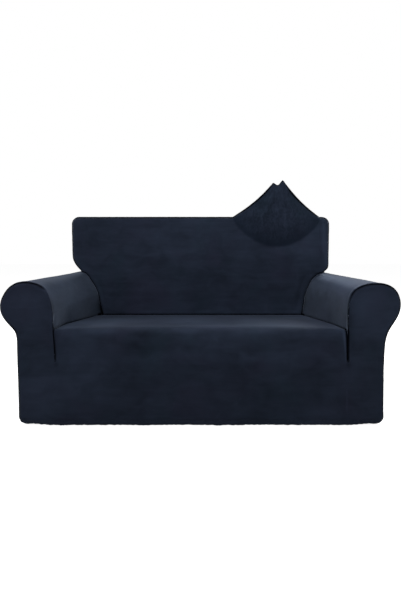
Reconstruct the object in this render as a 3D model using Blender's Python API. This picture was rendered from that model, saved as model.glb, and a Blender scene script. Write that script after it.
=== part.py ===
"""A fitted two-seat sofa cover of stretch velvet, as its five sewn panels.

The cover is worked out as one thin skin: grids of points over the arms, the seat, the front and the
back share their edges, so that the skin closes wherever two panels are sewn together. Each panel is
then a sheet of cloth cut from that skin, a hair's breadth short of its seams.

Sizes are in metres. While the skin is worked out, x runs from the middle to the right, y from the
front to the rear and z up from the hem. The finished panels are moved so that the origin is the
point under the top of the back that holds the cover up.
"""

import math

import bmesh
import bpy
import numpy as np
from mathutils import Vector

# The cloth
SHEET = 0.003  # velvet with its knitted backing
SEAM_GAP = 0.0003  # between two panels at a seam
MOST_MITRE = 3.0  # how far a sharp fold may lengthen the sheet's offset
MOST_SHIFT = 5.0  # and the same for the gap at a slanted wall
MITRE_SLACK = 0.02  # keeps that offset short where the faces are nearly level
VELVET = (0.0125, 0.0185, 0.034, 1.0)
VELVET_ROUGHNESS = 0.85

# The seat
SEAT_DEPTH = 0.600  # front plane to the crease at the back
NOSE_DEPTH = 0.048  # the rounding along the seat's front edge
NOSE_LEAN = 0.024  # the part of that depth which comes from leaning back
NOSE_FOOT = 0.270  # where the front starts to lean back, above the hem
SEAT_FRONT = 0.390
SEAT_REAR = 0.338
SEAT_CROWN = 0.008
CREASE_FRONT = 0.609  # half width between the arms at the front
CREASE_REAR_LEFT = 0.566
CREASE_REAR_RIGHT = 0.580

# The back
TOP = 0.914
REAR = 0.860  # the rear plane
TOP_FRONT = 0.720  # how far the back's face leans to the rear at its top
BACK_BULGE = 0.010
BACK_ROUND = 0.035  # radius along the back's front edge
BACK_SEAM_ANGLE = math.radians(60)  # where the seam lies on that rounding
REAR_ROUND = 0.018
REAR_ROUND_AT_WING = 0.3  # its share where the wing stands on the arm, and how fast it grows
REAR_ROUND_GROWTH = 0.25
TOP_CORNER = 0.043  # radius of the back's two upper corners
CORNER_FOOT = TOP - TOP_CORNER

# The arms and the hem
FRONT_ROUND = 0.012  # radius round the scroll fronts
HEM_HEIGHT = 0.020
HEM_TURN = 0.014  # how far the elastic draws the hem in

# The point of the back's top that is pulled up, and how far it comes up and forward
PEAK_LEFT, PEAK_RIGHT = 0.4245, 0.4858  # the pinch
PEAK_RISE = 0.194
PEAK_FORWARD = 0.080
PEAK_TILT = 0.45  # its right end stands higher than its left
PEAK_REACH_LEFT = 0.232
PEAK_REACH_RIGHT = 0.247
PEAK_REACH_DOWN = 0.185
PEAK_REACH_REAR = 0.150
PEAK_POWER = 1.5  # how hollow its sides are

# Half sections of the two arms, each as x and z: up the inner face, over the roll, down to the hem
ARM_SECTION = (
    # left x, left z, right x, right z
    (0.6117, 0.464, 0.6105, 0.468),
    (0.6200, 0.514, 0.6190, 0.520),
    (0.6360, 0.548, 0.6380, 0.550),
    (0.6610, 0.573, 0.6630, 0.569),
    (0.6950, 0.585, 0.6960, 0.581),
    (0.7240, 0.588, 0.7240, 0.585),  # the crown, where the back's wing stands on it
    (0.7570, 0.582, 0.7580, 0.581),
    (0.7840, 0.567, 0.7880, 0.568),
    (0.8060, 0.543, 0.8110, 0.545),
    (0.8210, 0.514, 0.8220, 0.515),
    (0.8260, 0.488, 0.8240, 0.488),
    (0.8190, 0.455, 0.8170, 0.459),
    (0.8010, 0.428, 0.8030, 0.432),
    (0.7780, 0.404, 0.7850, 0.407),
    (0.7600, 0.386, 0.7690, 0.380),
    (0.7540, 0.355, 0.7600, 0.345),
    (0.7530, 0.280, 0.7550, 0.280),
    (0.7510, 0.140, 0.7520, 0.140),
)
CROWN = 5  # that section's highest row
SCROLL_INNER, SCROLL_OUTER = 3, 8  # rows at the corners of the scroll front's patch

# The back's sides above the arms, each as x and z, from the crown of the arm up
WING_SECTION = (
    # left x, left z, right x, right z
    (0.7420, 0.609, 0.7490, 0.601),
    (0.7600, 0.632, 0.7680, 0.617),
    (0.7695, 0.662, 0.7750, 0.646),
)
WING_TOP = 0.781  # half width where the corner starts
WING_STEPS = 6

# How the cloth is divided
HEM_ROWS = (0.0, 0.006, 0.020)
APRON_ROWS = (0.080, 0.140, 0.205)
NOSE_ANGLES = (0, 20, 40, 62, 90)
DECK_STEPS = (0.180, 0.320, 0.460, 0.600)
INNER_FACE_STEPS = 3
SIDE_STEP_AFTER_WING = 0.770
TOP_COLUMNS = (-0.53, -0.32, -0.11, 0.06, 0.193, 0.27, 0.34, 0.385, PEAK_LEFT, PEAK_RIGHT,
               0.53, 0.585, 0.65)
FLAT_FADE, SCROLL_FADE = 8, 2  # how fast the top's curve dies out below it, on the back and a scroll
WELD = 0.00002
LEFT, RIGHT = -1, 1


# Tables and outlines ------------------------------------------------------------------------------
def section(table, side):
    """Rows of (x, z) for one side, x with its sign."""
    column = 0 if side == LEFT else 2
    return [(side * row[column], row[column + 1]) for row in table]


def face_depth(z):
    """y of the back's face at a height."""
    share = (z - SEAT_REAR) / (TOP - SEAT_REAR)
    return SEAT_DEPTH + (TOP_FRONT - SEAT_DEPTH) * share


def seat_profile():
    """(y, z) points of the seat beside an arm: up the rounded front edge, then to the rear."""
    points = []
    for degrees in NOSE_ANGLES:
        up, back = math.sin(math.radians(degrees)), 1 - math.cos(math.radians(degrees))
        y = NOSE_LEAN * up + (NOSE_DEPTH - NOSE_LEAN) * back
        points.append((y, NOSE_FOOT + (SEAT_FRONT - NOSE_FOOT) * up))
    for y in DECK_STEPS:
        share = (y - NOSE_DEPTH) / (SEAT_DEPTH - NOSE_DEPTH)
        points.append((y, SEAT_FRONT + (SEAT_REAR - SEAT_FRONT) * share))
    return points


def seat_crown(y, across):
    """How much higher the seat is than beside the arms; across is 0 in the middle and 1 there."""
    share = max(0.0, (y - NOSE_DEPTH) / (SEAT_DEPTH - NOSE_DEPTH))
    return SEAT_CROWN * (1 - across**2) * math.sin(math.pi * share)


def crease(side):
    """Points of the crease between the seat and an arm, front to rear."""
    rear = CREASE_REAR_LEFT if side == LEFT else CREASE_REAR_RIGHT
    slant = (rear - CREASE_FRONT) / SEAT_DEPTH
    return np.array([(side * (CREASE_FRONT + slant * y), y, z) for y, z in seat_profile()])


def inset(outline, amounts):
    """An open outline of (x, z) points moved to its left by an amount for each point."""
    outline = np.asarray(outline, float)
    ahead = np.diff(outline, axis=0)
    ahead /= np.linalg.norm(ahead, axis=1)[:, None]
    before = np.vstack([ahead[:1], ahead])
    after = np.vstack([ahead, ahead[-1:]])
    along = before + after
    along /= np.linalg.norm(along, axis=1)[:, None]
    mitre = np.minimum(1 / np.sum(along * after, axis=1), MOST_MITRE)
    left = np.column_stack([-along[:, 1], along[:, 0]])
    return outline + left * (mitre * np.asarray(amounts))[:, None]


def round_over(radius, angles):
    """(inset, depth) pairs along a quarter round, from the flat face (0) to the side (90 degrees)."""
    return [(radius * (1 - math.sin(angle)), radius * (1 - math.cos(angle))) for angle in angles]


def on_plane(outline, y):
    """Points at one depth; y is a number, or a list with one for each point."""
    outline = np.asarray(outline)
    return np.column_stack([outline[:, 0], np.broadcast_to(y, len(outline)), outline[:, 1]])


def patch(bottom, top, left, right, power):
    """Rows of points that fill the four sides of a patch, bottom to top. The bottom is straight.
    The top's curve fades out below it, faster for a higher power."""
    across = (shares(bottom) + shares(top)) / 2
    up = ((shares(left) + shares(right)) / 2)[:, None, None]
    along = across[None, :, None]
    rows = (1 - along) * left[:, None] + along * right[:, None]
    points = rows + up**power * (top[None] - rows[-1:])
    points[0], points[-1] = bottom, top
    return points


def shares(points):
    """How far along a line each of its points lies, from 0 to 1."""
    lengths = np.linalg.norm(np.diff(points, axis=0), axis=1)
    return np.concatenate([[0], np.cumsum(lengths)]) / lengths.sum()


# The skin -----------------------------------------------------------------------------------------
class Skin:
    """The cover's outer face: quads that share their points, each marked with its panel."""

    def __init__(self):
        self.mesh = bmesh.new()
        self.panel = self.mesh.faces.layers.int.new("panel")
        self.names = []

    def grid(self, name, points):
        """Adds rows of points as quads."""
        if name not in self.names:
            self.names.append(name)
        verts = [[self.mesh.verts.new(point) for point in row] for row in points]
        for low, high in zip(verts, verts[1:]):
            for corners in zip(low, low[1:], high[1:], high):
                self.mesh.faces.new(corners)[self.panel] = self.names.index(name)

    def close(self):
        """Joins the grids, turns every face outwards and makes sure that only the hem is open."""
        bmesh.ops.remove_doubles(self.mesh, verts=self.mesh.verts[:], dist=WELD)
        faces = self.mesh.faces
        bmesh.ops.recalc_face_normals(self.mesh, faces=faces[:])
        foremost = min(faces, key=lambda face: face.calc_center_median().y)
        if foremost.normal.y > 0:
            bmesh.ops.reverse_faces(self.mesh, faces=faces[:])
        for edge in self.mesh.edges:
            assert len(edge.link_faces) == 2 or max(v.co.z for v in edge.verts) < SHEET, edge


def arm_side(side):
    """(x, z) rows of an arm from the crown over the outside to the hem."""
    rows = section(ARM_SECTION, side)[CROWN:]
    foot = rows[-1][0]
    return rows + [(foot, z) for z in reversed(HEM_ROWS)]


def arm_roll(side):
    """(x, z) rows of an arm from the inner face up to the crown."""
    return section(ARM_SECTION, side)[: CROWN + 1]


def whole_arm(side, amount):
    """An arm's rows from the inner face to the hem, moved in by an amount, with the hem kept low."""
    rows = arm_roll(side) + arm_side(side)[1:]
    moved = inset(rows, [-side * amount] * len(rows))
    moved[-len(HEM_ROWS):, 1] = HEM_ROWS[::-1]
    return moved


def inner_rows(side, top_row, crease_point):
    """The straight part of the arm's inner face below the roll, without its top row."""
    steps = np.linspace(0, 1, INNER_FACE_STEPS + 1)[:-1, None]
    return crease_point + (top_row - crease_point) * steps


def front_edge_of_arm(side, amount, depth):
    """Points round the scroll front from the seat's nose over the roll to the hem."""
    rows = on_plane(whole_arm(side, amount), depth)
    start = inner_rows(side, rows[0], crease(side)[0])
    return np.vstack([start, rows])


def build_arm(skin, side):
    name = "left_arm_panel" if side == LEFT else "right_arm_panel"
    front = round_over(FRONT_ROUND, (math.radians(45), math.radians(65), math.radians(90)))
    rear = round_over(REAR_ROUND, (math.radians(90), math.radians(45)))
    crease_points = crease(side)
    depths = [depth for _, depth in front] + [0.030, 0.050] + list(DECK_STEPS[:-1])
    insets = [amount for amount, _ in front] + [0.0] * (len(depths) - len(front))

    # The inner face and the roll up to the crown, ending on the back's face
    columns = []
    for amount, depth, foot in zip(insets, depths, crease_points):
        roll = on_plane(whole_arm(side, amount)[: CROWN + 1], depth)
        columns.append(np.vstack([inner_rows(side, roll[0], foot), roll]))
    columns.append(arm_on_back(side))
    skin.grid(name, columns)

    # From the crown over the outside to the hem, as far as the rear
    crown_depth = face_depth(arm_roll(side)[-1][1])
    places = list(zip(insets, depths)) + [(0.0, crown_depth), (0.0, SIDE_STEP_AFTER_WING)]
    places += [(amount, REAR - depth) for amount, depth in rear]
    skin.grid(name, [on_plane(arm_outside(side, *place), place[1]) for place in places])


def arm_outside(side, amount, depth):
    """The outer rows of an arm at a depth, moved in by an amount. Round the rear edge they are part
    of the rear's outline, which runs on up the wing from the crown."""
    if depth <= REAR - REAR_ROUND:
        return whole_arm(side, amount)[CROWN:]
    return rear_outline(side, amount)[: len(arm_side(side))][::-1]


def arm_on_back(side):
    """The arm's inner rows where they meet the back's face, from the crease to the crown."""
    roll = arm_roll(side)
    points = on_plane(roll, [face_depth(z) for _, z in roll])
    return np.vstack([inner_rows(side, points[0], crease(side)[-1]), points])


def wing_side(side):
    """(x, z) rows of the back's side from the arm's crown to the middle of the upper corner."""
    rows = [arm_roll(side)[-1]] + section(WING_SECTION, side)
    last_x, last_z = rows[-1]
    for step in range(1, WING_STEPS + 1):
        share = step / WING_STEPS
        x = last_x + (side * WING_TOP - last_x) * share
        rows.append((x, last_z + (CORNER_FOOT - last_z) * share))
    return rows + [corner_point(side, angle) for angle in (22.5, 45)]


def corner_point(side, degrees):
    """A point on an upper corner of the back: 0 is its side, 90 its top."""
    angle = math.radians(degrees)
    x = WING_TOP - TOP_CORNER + TOP_CORNER * math.cos(angle)
    return (side * x, CORNER_FOOT + TOP_CORNER * math.sin(angle))


def back_top():
    """(x, z) points of the back's top, from the middle of one corner to that of the other."""
    left = [corner_point(LEFT, angle) for angle in (45, 67.5, 90)]
    right = [corner_point(RIGHT, angle) for angle in (90, 67.5, 45)]
    return left + [(x, TOP) for x in TOP_COLUMNS] + right


def back_outline():
    """The back's outline above the arms, from the left crown over the top to the right crown."""
    return wing_side(LEFT) + back_top()[1:-1] + wing_side(RIGHT)[::-1]


def edge_of_back(angle):
    """The back's outline at an angle of the rounding along its front edge. The rounding runs out
    to nothing where the wings stand on the arms."""
    outline = back_outline()
    count = len(outline)
    fade = [min(1, index / 3, (count - 1 - index) / 3) for index in range(count)]
    ((amount, depth),) = round_over(BACK_ROUND, (angle,))
    moved = inset(outline, [-amount * share for share in fade])
    depths = [face_depth(z) + depth * share for (_, z), share in zip(moved, fade)]
    return on_plane(moved, depths)


def rear_outline(side, amount):
    """(x, z) rows of one side of the rear, from the hem up to the middle of the upper corner."""
    crown = len(arm_side(side)) - 1
    rows = arm_side(side)[::-1] + wing_side(side)[1:]
    rows.append(corner_point(side, 67.5))
    growth = [REAR_ROUND_AT_WING + REAR_ROUND_GROWTH * abs(row - crown) for row in range(len(rows))]
    moved = inset(rows, [side * amount * min(1, share) for share in growth])[:-1]
    moved[: len(HEM_ROWS), 1] = HEM_ROWS
    return moved


def rear_top(amount):
    top = back_top()
    around = [corner_point(LEFT, 22.5)] + top + [corner_point(RIGHT, 22.5)]
    return inset(around, [-amount] * len(around))[1:-1]


def build_back(skin):
    inside, outside = "inside_back_panel", "outside_back_panel"
    wing_count = len(wing_side(LEFT))
    edge = edge_of_back(0)
    left = np.vstack([arm_on_back(LEFT), edge[1:wing_count]])
    right = np.vstack([arm_on_back(RIGHT), edge[::-1][1:wing_count]])
    top = edge[wing_count - 1 : len(edge) - wing_count + 1]
    face = patch(seat_back_line(), top, left, right, FLAT_FADE)
    skin.grid(inside, bulged(face))

    angles = [0, BACK_SEAM_ANGLE / 2, BACK_SEAM_ANGLE]
    skin.grid(inside, [edge_of_back(angle) for angle in angles])
    strip = [edge_of_back(angle) for angle in (BACK_SEAM_ANGLE, math.radians(90))]
    strip.append(on_plane(back_outline(), SIDE_STEP_AFTER_WING))
    for amount, depth in round_over(REAR_ROUND, [math.radians(value) for value in (90, 45, 0)]):
        strip.append(on_plane(rear_back_outline(amount), REAR - depth))
    skin.grid(outside, strip)

    for side in (LEFT, RIGHT):
        ends = []
        for amount, depth in round_over(REAR_ROUND, (math.radians(45), 0)):
            rows = rear_outline(side, amount)[: len(arm_side(side))]
            ends.append(on_plane(rows, REAR - depth))
        skin.grid(outside, ends)
    left, right = (on_plane(rear_outline(side, REAR_ROUND), REAR) for side in (LEFT, RIGHT))
    top = on_plane(rear_top(REAR_ROUND), REAR)
    hem = left[0] + (right[0] - left[0]) * shares(top)[:, None]
    skin.grid(outside, patch(hem, top, left, right, FLAT_FADE))


def rear_back_outline(amount):
    """The back's outline above the arms, moved in by an amount."""
    arm_rows = len(arm_side(LEFT))
    left = rear_outline(LEFT, amount)[arm_rows - 1 :]
    right = rear_outline(RIGHT, amount)[arm_rows - 1 :]
    return np.vstack([left, rear_top(amount)[1:-1], right[::-1]])


def bulged(face):
    """The back's face, a little fuller in the middle."""
    rows, columns = face.shape[:2]
    up = np.sin(np.pi * np.linspace(0, 1, rows))[:, None]
    across = np.sin(np.pi * np.linspace(0, 1, columns))[None, :]
    full = face.copy()
    full[..., 1] -= BACK_BULGE * up * across
    return full


def seat_back_line():
    """The crease between seat and back, from left to right."""
    left, right = crease(LEFT)[-1], crease(RIGHT)[-1]
    return left + (right - left) * shares(on_plane(back_top(), 0.0))[:, None]


def build_front(skin):
    name = "seat_front_panel"
    # The front and the seat in one, from the hem over the nose to the crease at the back
    left, right = crease(LEFT), crease(RIGHT)
    across = shares(on_plane(back_top(), 0.0))
    rows = []
    for z in HEM_ROWS + APRON_ROWS:
        rows.append([(CREASE_FRONT * (2 * share - 1), 0.0, z) for share in across])
    for start, end in zip(left, right):
        row = start + (end - start) * across[:, None]
        row[:, 2] += [seat_crown(start[1], 2 * share - 1) for share in across]
        rows.append(row)
    skin.grid(name, rows)

    seam = round_over(FRONT_ROUND, (math.radians(45),))[0]
    for side in (LEFT, RIGHT):
        outer_ring = front_edge_of_arm(side, *seam)
        flat_ring = front_edge_of_arm(side, FRONT_ROUND, 0.0)
        skin.grid(name, [outer_ring, flat_ring])
        below = [(side * CREASE_FRONT, 0.0, z) for z in HEM_ROWS + APRON_ROWS]
        inner_count = INNER_FACE_STEPS + SCROLL_INNER + 1
        inner = np.vstack([below, flat_ring[:inner_count]])
        arc = flat_ring[inner_count - 1 : INNER_FACE_STEPS + SCROLL_OUTER + 1]
        outer = flat_ring[INNER_FACE_STEPS + SCROLL_OUTER :][::-1]
        hem = inner[0] + (outer[0] - inner[0]) * shares(arc)[:, None]
        skin.grid(name, patch(hem, arc, inner, outer, SCROLL_FADE))


# What the elastic and the pull do to the skin -----------------------------------------------------
def draw_in_hem(point):
    """Moves a point near the hem towards the middle, on a quarter of an ellipse."""
    low = max(0.0, 1 - point.z / HEM_HEIGHT)
    draw = HEM_TURN * (1 - math.sqrt(1 - min(low, 1.0) ** 2))
    half_width, half_depth = abs(point.x), abs(point.y - REAR / 2)
    if half_width > CREASE_FRONT:
        point.x *= 1 - draw / half_width * min(1, (half_width - CREASE_FRONT) / 0.1)
    if half_depth > 0:
        point.y = REAR / 2 + (point.y - REAR / 2) * (1 - draw / half_depth * (half_depth * 2 / REAR))


def pull_peak(point):
    """Moves a point of the back's top with the cloth that is pulled up and forward."""
    seam_y = TOP_FRONT + BACK_ROUND * (1 - math.cos(BACK_SEAM_ANGLE))
    pinch = min(max(point.x, PEAK_LEFT), PEAK_RIGHT)
    aside = point.x - pinch
    reach_across = PEAK_REACH_LEFT if aside < 0 else PEAK_REACH_RIGHT
    behind = point.y - seam_y
    down = TOP - point.z
    if behind > 0:
        path, reach = behind + down, PEAK_REACH_REAR
    else:
        path, reach = down, PEAK_REACH_DOWN
    away = math.hypot(aside / reach_across, path / reach)
    if away >= 1:
        return
    point.z += (PEAK_RISE + PEAK_TILT * (pinch - (PEAK_LEFT + PEAK_RIGHT) / 2)) * (
        1 - away
    ) ** PEAK_POWER
    point.y -= PEAK_FORWARD * (1 - away)


# From skin to cloth -------------------------------------------------------------------------------
def offset_at(vert):
    """The way from the outer face to the inner face at a point: a sheet's thickness behind each of
    the faces that meet there, as nearly as one point can be."""
    normals = np.array([face.normal for face in vert.link_faces])
    equations = normals.T @ normals + MITRE_SLACK * np.eye(3)
    way = Vector(np.linalg.solve(equations, -SHEET * normals.sum(axis=0)))
    return way * min(1, MOST_MITRE * SHEET / way.length)


def seam_shift(vert, offset, panel_faces):
    """How far a point on a seam moves into its panel, half the gap from each wall that meets there."""
    inwards, walls = [], []
    for edge in vert.link_edges:
        mine = [face for face in edge.link_faces if face in panel_faces]
        if len(mine) != 1 or len(edge.link_faces) != 2:
            continue
        face = mine[0]
        along = (edge.verts[1].co - edge.verts[0].co).normalized()
        inward = face.normal.cross(along).normalized()
        if inward.dot(face.calc_center_median() - edge.verts[0].co) < 0:
            inward.negate()
        wall = along.cross(offset).normalized()
        if wall.dot(inward) < 0:
            wall.negate()
        inwards.append(inward)
        walls.append(wall)
    middle = sum(inwards, Vector()).normalized()
    middle -= vert.normal * middle.dot(vert.normal)
    if middle.length < 0.5:  # no seam, or the panel lies on both sides of another's point
        return Vector()
    least = max(min(middle.dot(wall) for wall in walls), 1 / MOST_SHIFT)
    return middle * (SEAM_GAP / 2 / least)


def panel_material(name):
    material = bpy.data.materials.new(name + "_velvet")
    material.use_nodes = True
    shader = material.node_tree.nodes["Principled BSDF"]
    shader.inputs["Base Color"].default_value = VELVET
    shader.inputs["Roughness"].default_value = VELVET_ROUGHNESS
    shader.inputs["Metallic"].default_value = 0.0
    return material


def cut_panel(skin, index, origin):
    """One panel as a closed sheet: its outer face, its inner face and the walls along its edge."""
    name = skin.names[index]
    faces = {face for face in skin.mesh.faces if face[skin.panel] == index}
    sheet = bmesh.new()
    outer, inner = {}, {}
    for vert in dict.fromkeys(vert for face in skin.mesh.faces if face in faces for vert in face.verts):
        offset = offset_at(vert)
        place = vert.co + seam_shift(vert, offset, faces) - origin
        outer[vert] = sheet.verts.new(place)
        inner[vert] = sheet.verts.new(place + offset)
    for face in skin.mesh.faces:
        if face not in faces:
            continue
        sheet.faces.new([outer[vert] for vert in face.verts])
        sheet.faces.new([inner[vert] for vert in reversed(face.verts)])
        for loop in face.loops:
            if sum(other in faces for other in loop.edge.link_faces) == 1:
                start, end = loop.vert, loop.link_loop_next.vert
                corners = [outer[end], outer[start], inner[start], inner[end]]
                # Both panels at a seam split this wall along the same diagonal
                if tuple(start.co) < tuple(end.co):
                    corners = corners[1:] + corners[:1]
                sheet.faces.new(corners[:3])
                sheet.faces.new([corners[0], corners[2], corners[3]])
    mesh = bpy.data.meshes.new(name)
    sheet.to_mesh(mesh)
    sheet.free()
    mesh.shade_smooth()
    mesh.set_sharp_from_angle(angle=math.radians(50))
    mesh.materials.append(panel_material(name))
    panel = bpy.data.objects.new(name, mesh)
    bpy.context.scene.collection.objects.link(panel)
    return panel


def main():
    for old in list(bpy.data.objects):
        bpy.data.objects.remove(old)
    skin = Skin()
    build_front(skin)
    build_back(skin)
    for side in (LEFT, RIGHT):
        build_arm(skin, side)
    skin.close()
    for vert in skin.mesh.verts:
        pull_peak(vert.co)
        draw_in_hem(vert.co)
    skin.mesh.normal_update()
    held_at = Vector((0.0, (TOP_FRONT + REAR) / 2, TOP - SHEET))
    for index in range(len(skin.names)):
        cut_panel(skin, index, held_at)
    skin.mesh.free()


main()
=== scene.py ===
"""Looks of a fitted two-seat slipcover in dark stretch velvet.

The cover is worked out as one skin of grids that share their borders, rounded by subdivision, pulled
up at its peak, drawn in at its hem and sewn down along its seams. Each panel is then cut out of that
skin as a thin sheet of cloth.

Sizes are in metres. While the skin is worked out, x runs from the middle to the right, y from the
front to the rear and z up from the hem; HELD_AT is where the part's origin lies in that frame.
"""

import logging
import math
from dataclasses import dataclass, field
from enum import Enum

import bmesh
import bpy
import numpy as np
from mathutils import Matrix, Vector, noise
from mathutils.bvhtree import BVHTree
from mathutils.kdtree import KDTree


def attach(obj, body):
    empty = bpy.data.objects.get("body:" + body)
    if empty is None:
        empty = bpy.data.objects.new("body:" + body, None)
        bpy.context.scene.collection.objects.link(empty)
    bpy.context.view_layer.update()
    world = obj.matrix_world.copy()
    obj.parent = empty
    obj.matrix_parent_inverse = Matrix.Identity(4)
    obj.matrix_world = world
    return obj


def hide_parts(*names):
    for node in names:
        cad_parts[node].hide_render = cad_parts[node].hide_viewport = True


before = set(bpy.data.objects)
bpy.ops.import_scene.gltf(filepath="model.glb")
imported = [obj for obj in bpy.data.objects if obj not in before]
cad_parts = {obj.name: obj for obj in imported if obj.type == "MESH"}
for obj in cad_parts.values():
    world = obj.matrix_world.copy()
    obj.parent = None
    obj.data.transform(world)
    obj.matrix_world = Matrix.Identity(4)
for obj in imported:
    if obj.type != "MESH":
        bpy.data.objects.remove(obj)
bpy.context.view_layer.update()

log = logging.getLogger("cover")
BODY = "root"
HELD_AT = np.array([0.0, 0.790, 0.911])
PHOTO_WIDTH, PHOTO_HEIGHT = 401, 601

# Half sections of the two arms, each as x and z: up the inner face, over the roll, down to the hem
ARM_SECTION = (
    # left x, left z, right x, right z
    (0.6045, 0.464, 0.6035, 0.468),
    (0.6125, 0.514, 0.6080, 0.520),
    (0.6260, 0.549, 0.6240, 0.5535),
    (0.6520, 0.577, 0.6540, 0.5730),
    (0.6930, 0.5895, 0.6920, 0.5840),
    (0.7240, 0.5925, 0.7240, 0.5853),  # the crown, where the back's wing stands on it
    (0.7580, 0.5875, 0.7600, 0.5830),
    (0.7855, 0.571, 0.7905, 0.570),
    (0.8070, 0.545, 0.8120, 0.547),
    (0.8210, 0.514, 0.8220, 0.515),
    (0.8260, 0.488, 0.8240, 0.488),
    (0.8190, 0.455, 0.8170, 0.459),
    (0.8010, 0.428, 0.8030, 0.432),
    (0.7780, 0.404, 0.7850, 0.407),
    (0.7600, 0.386, 0.7690, 0.380),
    (0.7540, 0.355, 0.7600, 0.345),
    (0.7525, 0.280, 0.7550, 0.280),
    (0.7480, 0.150, 0.7520, 0.150),
    (0.7458, 0.070, 0.7515, 0.070),
)
CROWN = 5  # that section's highest row
NECK = 15  # the row where the stem below the roll starts
SCROLL_INNER, SCROLL_OUTER = 3, 8  # rows at the corners of the scroll front's patch

# The back's sides above the arms, each as x and z, from the crown of the arm up
WING_SECTION = (
    # left x, left z, right x, right z
    (0.7160, 0.602, 0.7500, 0.600),
    (0.7450, 0.629, 0.7580, 0.616),
    (0.7640, 0.662, 0.7635, 0.646),
)

# Half widths of the seat between the arms, by how far behind its front edge
CREASE_SECTION = (
    # depth, left, right
    (0.032, 0.6120, 0.6070),
    (0.090, 0.6215, 0.6105),
    (0.140, 0.6280, 0.6130),
    (0.215, 0.6310, 0.6140),
    (0.334, 0.6140, 0.6050),
    (0.450, 0.6020, 0.5970),
    (0.517, 0.5930, 0.5910),
    (0.572, 0.5760, 0.5840),
    (0.600, 0.5570, 0.5770),
)
# How far the arm's rows, from its inner face to the crown, lean out where they meet the back
LEAN_AT_BACK = (
    # left, right
    (-0.0148, 0.0035),
    (0.0015, 0.0250),
    (0.0150, 0.0290),
    (0.0080, 0.0260),
    (-0.0140, 0.0080),
    (-0.0300, -0.0060),
)
DROP_AT_BACK = {-1: 0.0098, 1: 0.0066}  # how much lower the roll is there, for each side

HEM_ROWS = (0.0, 0.008, 0.020, 0.040)  # heights of the rows in the hem
APRON_STEP, APRON_COUNT = 0.0256, 8  # the rows between the hem and the foot of the seat's nose
APRON_ROWS = tuple(HEM_ROWS[-1] + APRON_STEP * step for step in range(1, APRON_COUNT + 1))
MITRE_LIMIT = 3.0  # how far a sharp corner may run out, in times the inset


class Side(Enum):
    """A side of the cover as seen from the front. Its value is the sign of x there."""

    LEFT = -1
    RIGHT = 1


class Panel(Enum):
    """The cloths that the cover is sewn from. Each value is the panel's node."""

    SEAT_FRONT = "seat_front_panel"
    INSIDE_BACK = "inside_back_panel"
    OUTSIDE_BACK = "outside_back_panel"
    LEFT_ARM = "left_arm_panel"
    RIGHT_ARM = "right_arm_panel"

    @property
    def number(self) -> int:
        """Its place among the panels, which marks its quads."""
        return list(Panel).index(self)


class View(Enum):
    """A side from which a fold or a patch is placed. Its value is the two axes seen from there."""

    FRONT = (0, 2)
    TOP = (0, 1)
    SIDE = (1, 2)


# Lines and patches --------------------------------------------------------------------------------
def section(table: tuple, side: Side) -> np.ndarray:
    """Rows of a half section for one side.

    Args:
        table: rows of left x, left z, right x and right z.
        side: the side to read.

    Returns:
        Rows of x, with its sign, and z.
    """
    column = 0 if side is Side.LEFT else 2
    return np.array([(side.value * row[column], row[column + 1]) for row in table])


def distances(points: np.ndarray) -> np.ndarray:
    """How far each point of a line is from its start, along the line."""
    lengths = np.linalg.norm(np.diff(points, axis=0), axis=1)
    return np.concatenate([[0], np.cumsum(lengths)])


def shares(points: np.ndarray) -> np.ndarray:
    """How far along a line each of its points lies, from 0 to 1."""
    along = distances(points)
    return along / along[-1]


def smooth_line(points: np.ndarray, spans: int) -> np.ndarray:
    """A smooth line through points.

    Args:
        points: at least three points, of any dimension.
        spans: how many spans the line has between each two points.

    Returns:
        The line's points, with the given ones among them.
    """
    points = np.asarray(points, float)
    steps = np.linalg.norm(np.diff(points, axis=0), axis=1)[:, None]
    slopes = np.diff(points, axis=0) / steps
    inner = (slopes[:-1] * steps[1:] + slopes[1:] * steps[:-1]) / (steps[1:] + steps[:-1])
    tangents = np.vstack([2 * slopes[:1] - inner[:1], inner, 2 * slopes[-1:] - inner[-1:]])
    line = []
    for index, step in enumerate(steps):
        for share in np.arange(spans) / spans:
            square, cube = share**2, share**3
            line.append(
                (2 * cube - 3 * square + 1) * points[index]
                + (cube - 2 * square + share) * step * tangents[index]
                + (3 * square - 2 * cube) * points[index + 1]
                + (cube - square) * step * tangents[index + 1]
            )
    return np.vstack([*line, points[-1]])


def resampled(points: np.ndarray, count: int, spans: int = 12) -> np.ndarray:
    """Evenly spaced points on the smooth line through some points.

    Args:
        points: at least three points, of any dimension.
        count: how many points are wanted.
        spans: how finely the line is followed between each two points.

    Returns:
        The wanted points.
    """
    line = smooth_line(points, spans)
    wanted = np.linspace(0, 1, count)
    return np.column_stack([np.interp(wanted, shares(line), axis) for axis in line.T])


def inset(outline: np.ndarray, amounts: np.ndarray) -> np.ndarray:
    """An open outline of x and z moved to its left.

    Args:
        outline: the outline's points.
        amounts: how far each point moves.

    Returns:
        The moved points.
    """
    outline = np.asarray(outline, float)
    ahead = np.diff(outline, axis=0)
    ahead /= np.linalg.norm(ahead, axis=1)[:, None]
    after = np.vstack([ahead, ahead[-1:]])
    along = np.vstack([ahead[:1], ahead]) + after
    along /= np.linalg.norm(along, axis=1)[:, None]
    mitre = np.minimum(1 / np.sum(along * after, axis=1), MITRE_LIMIT)
    left = np.column_stack([-along[:, 1], along[:, 0]])
    return outline + left * (mitre * np.asarray(amounts))[:, None]


def on_plane(outline: np.ndarray, depth: float | np.ndarray) -> np.ndarray:
    """Points of an outline of x and z at one depth, or at a depth for each point."""
    outline = np.asarray(outline)
    return np.column_stack([outline[:, 0], np.broadcast_to(depth, len(outline)), outline[:, 1]])


def round_over(radius: float | np.ndarray, degrees: float) -> tuple:
    """The inset and the depth at an angle of a quarter round: 0 is its flat face, 90 its side."""
    angle = math.radians(degrees)
    return radius * (1 - math.sin(angle)), radius * (1 - math.cos(angle))


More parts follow.
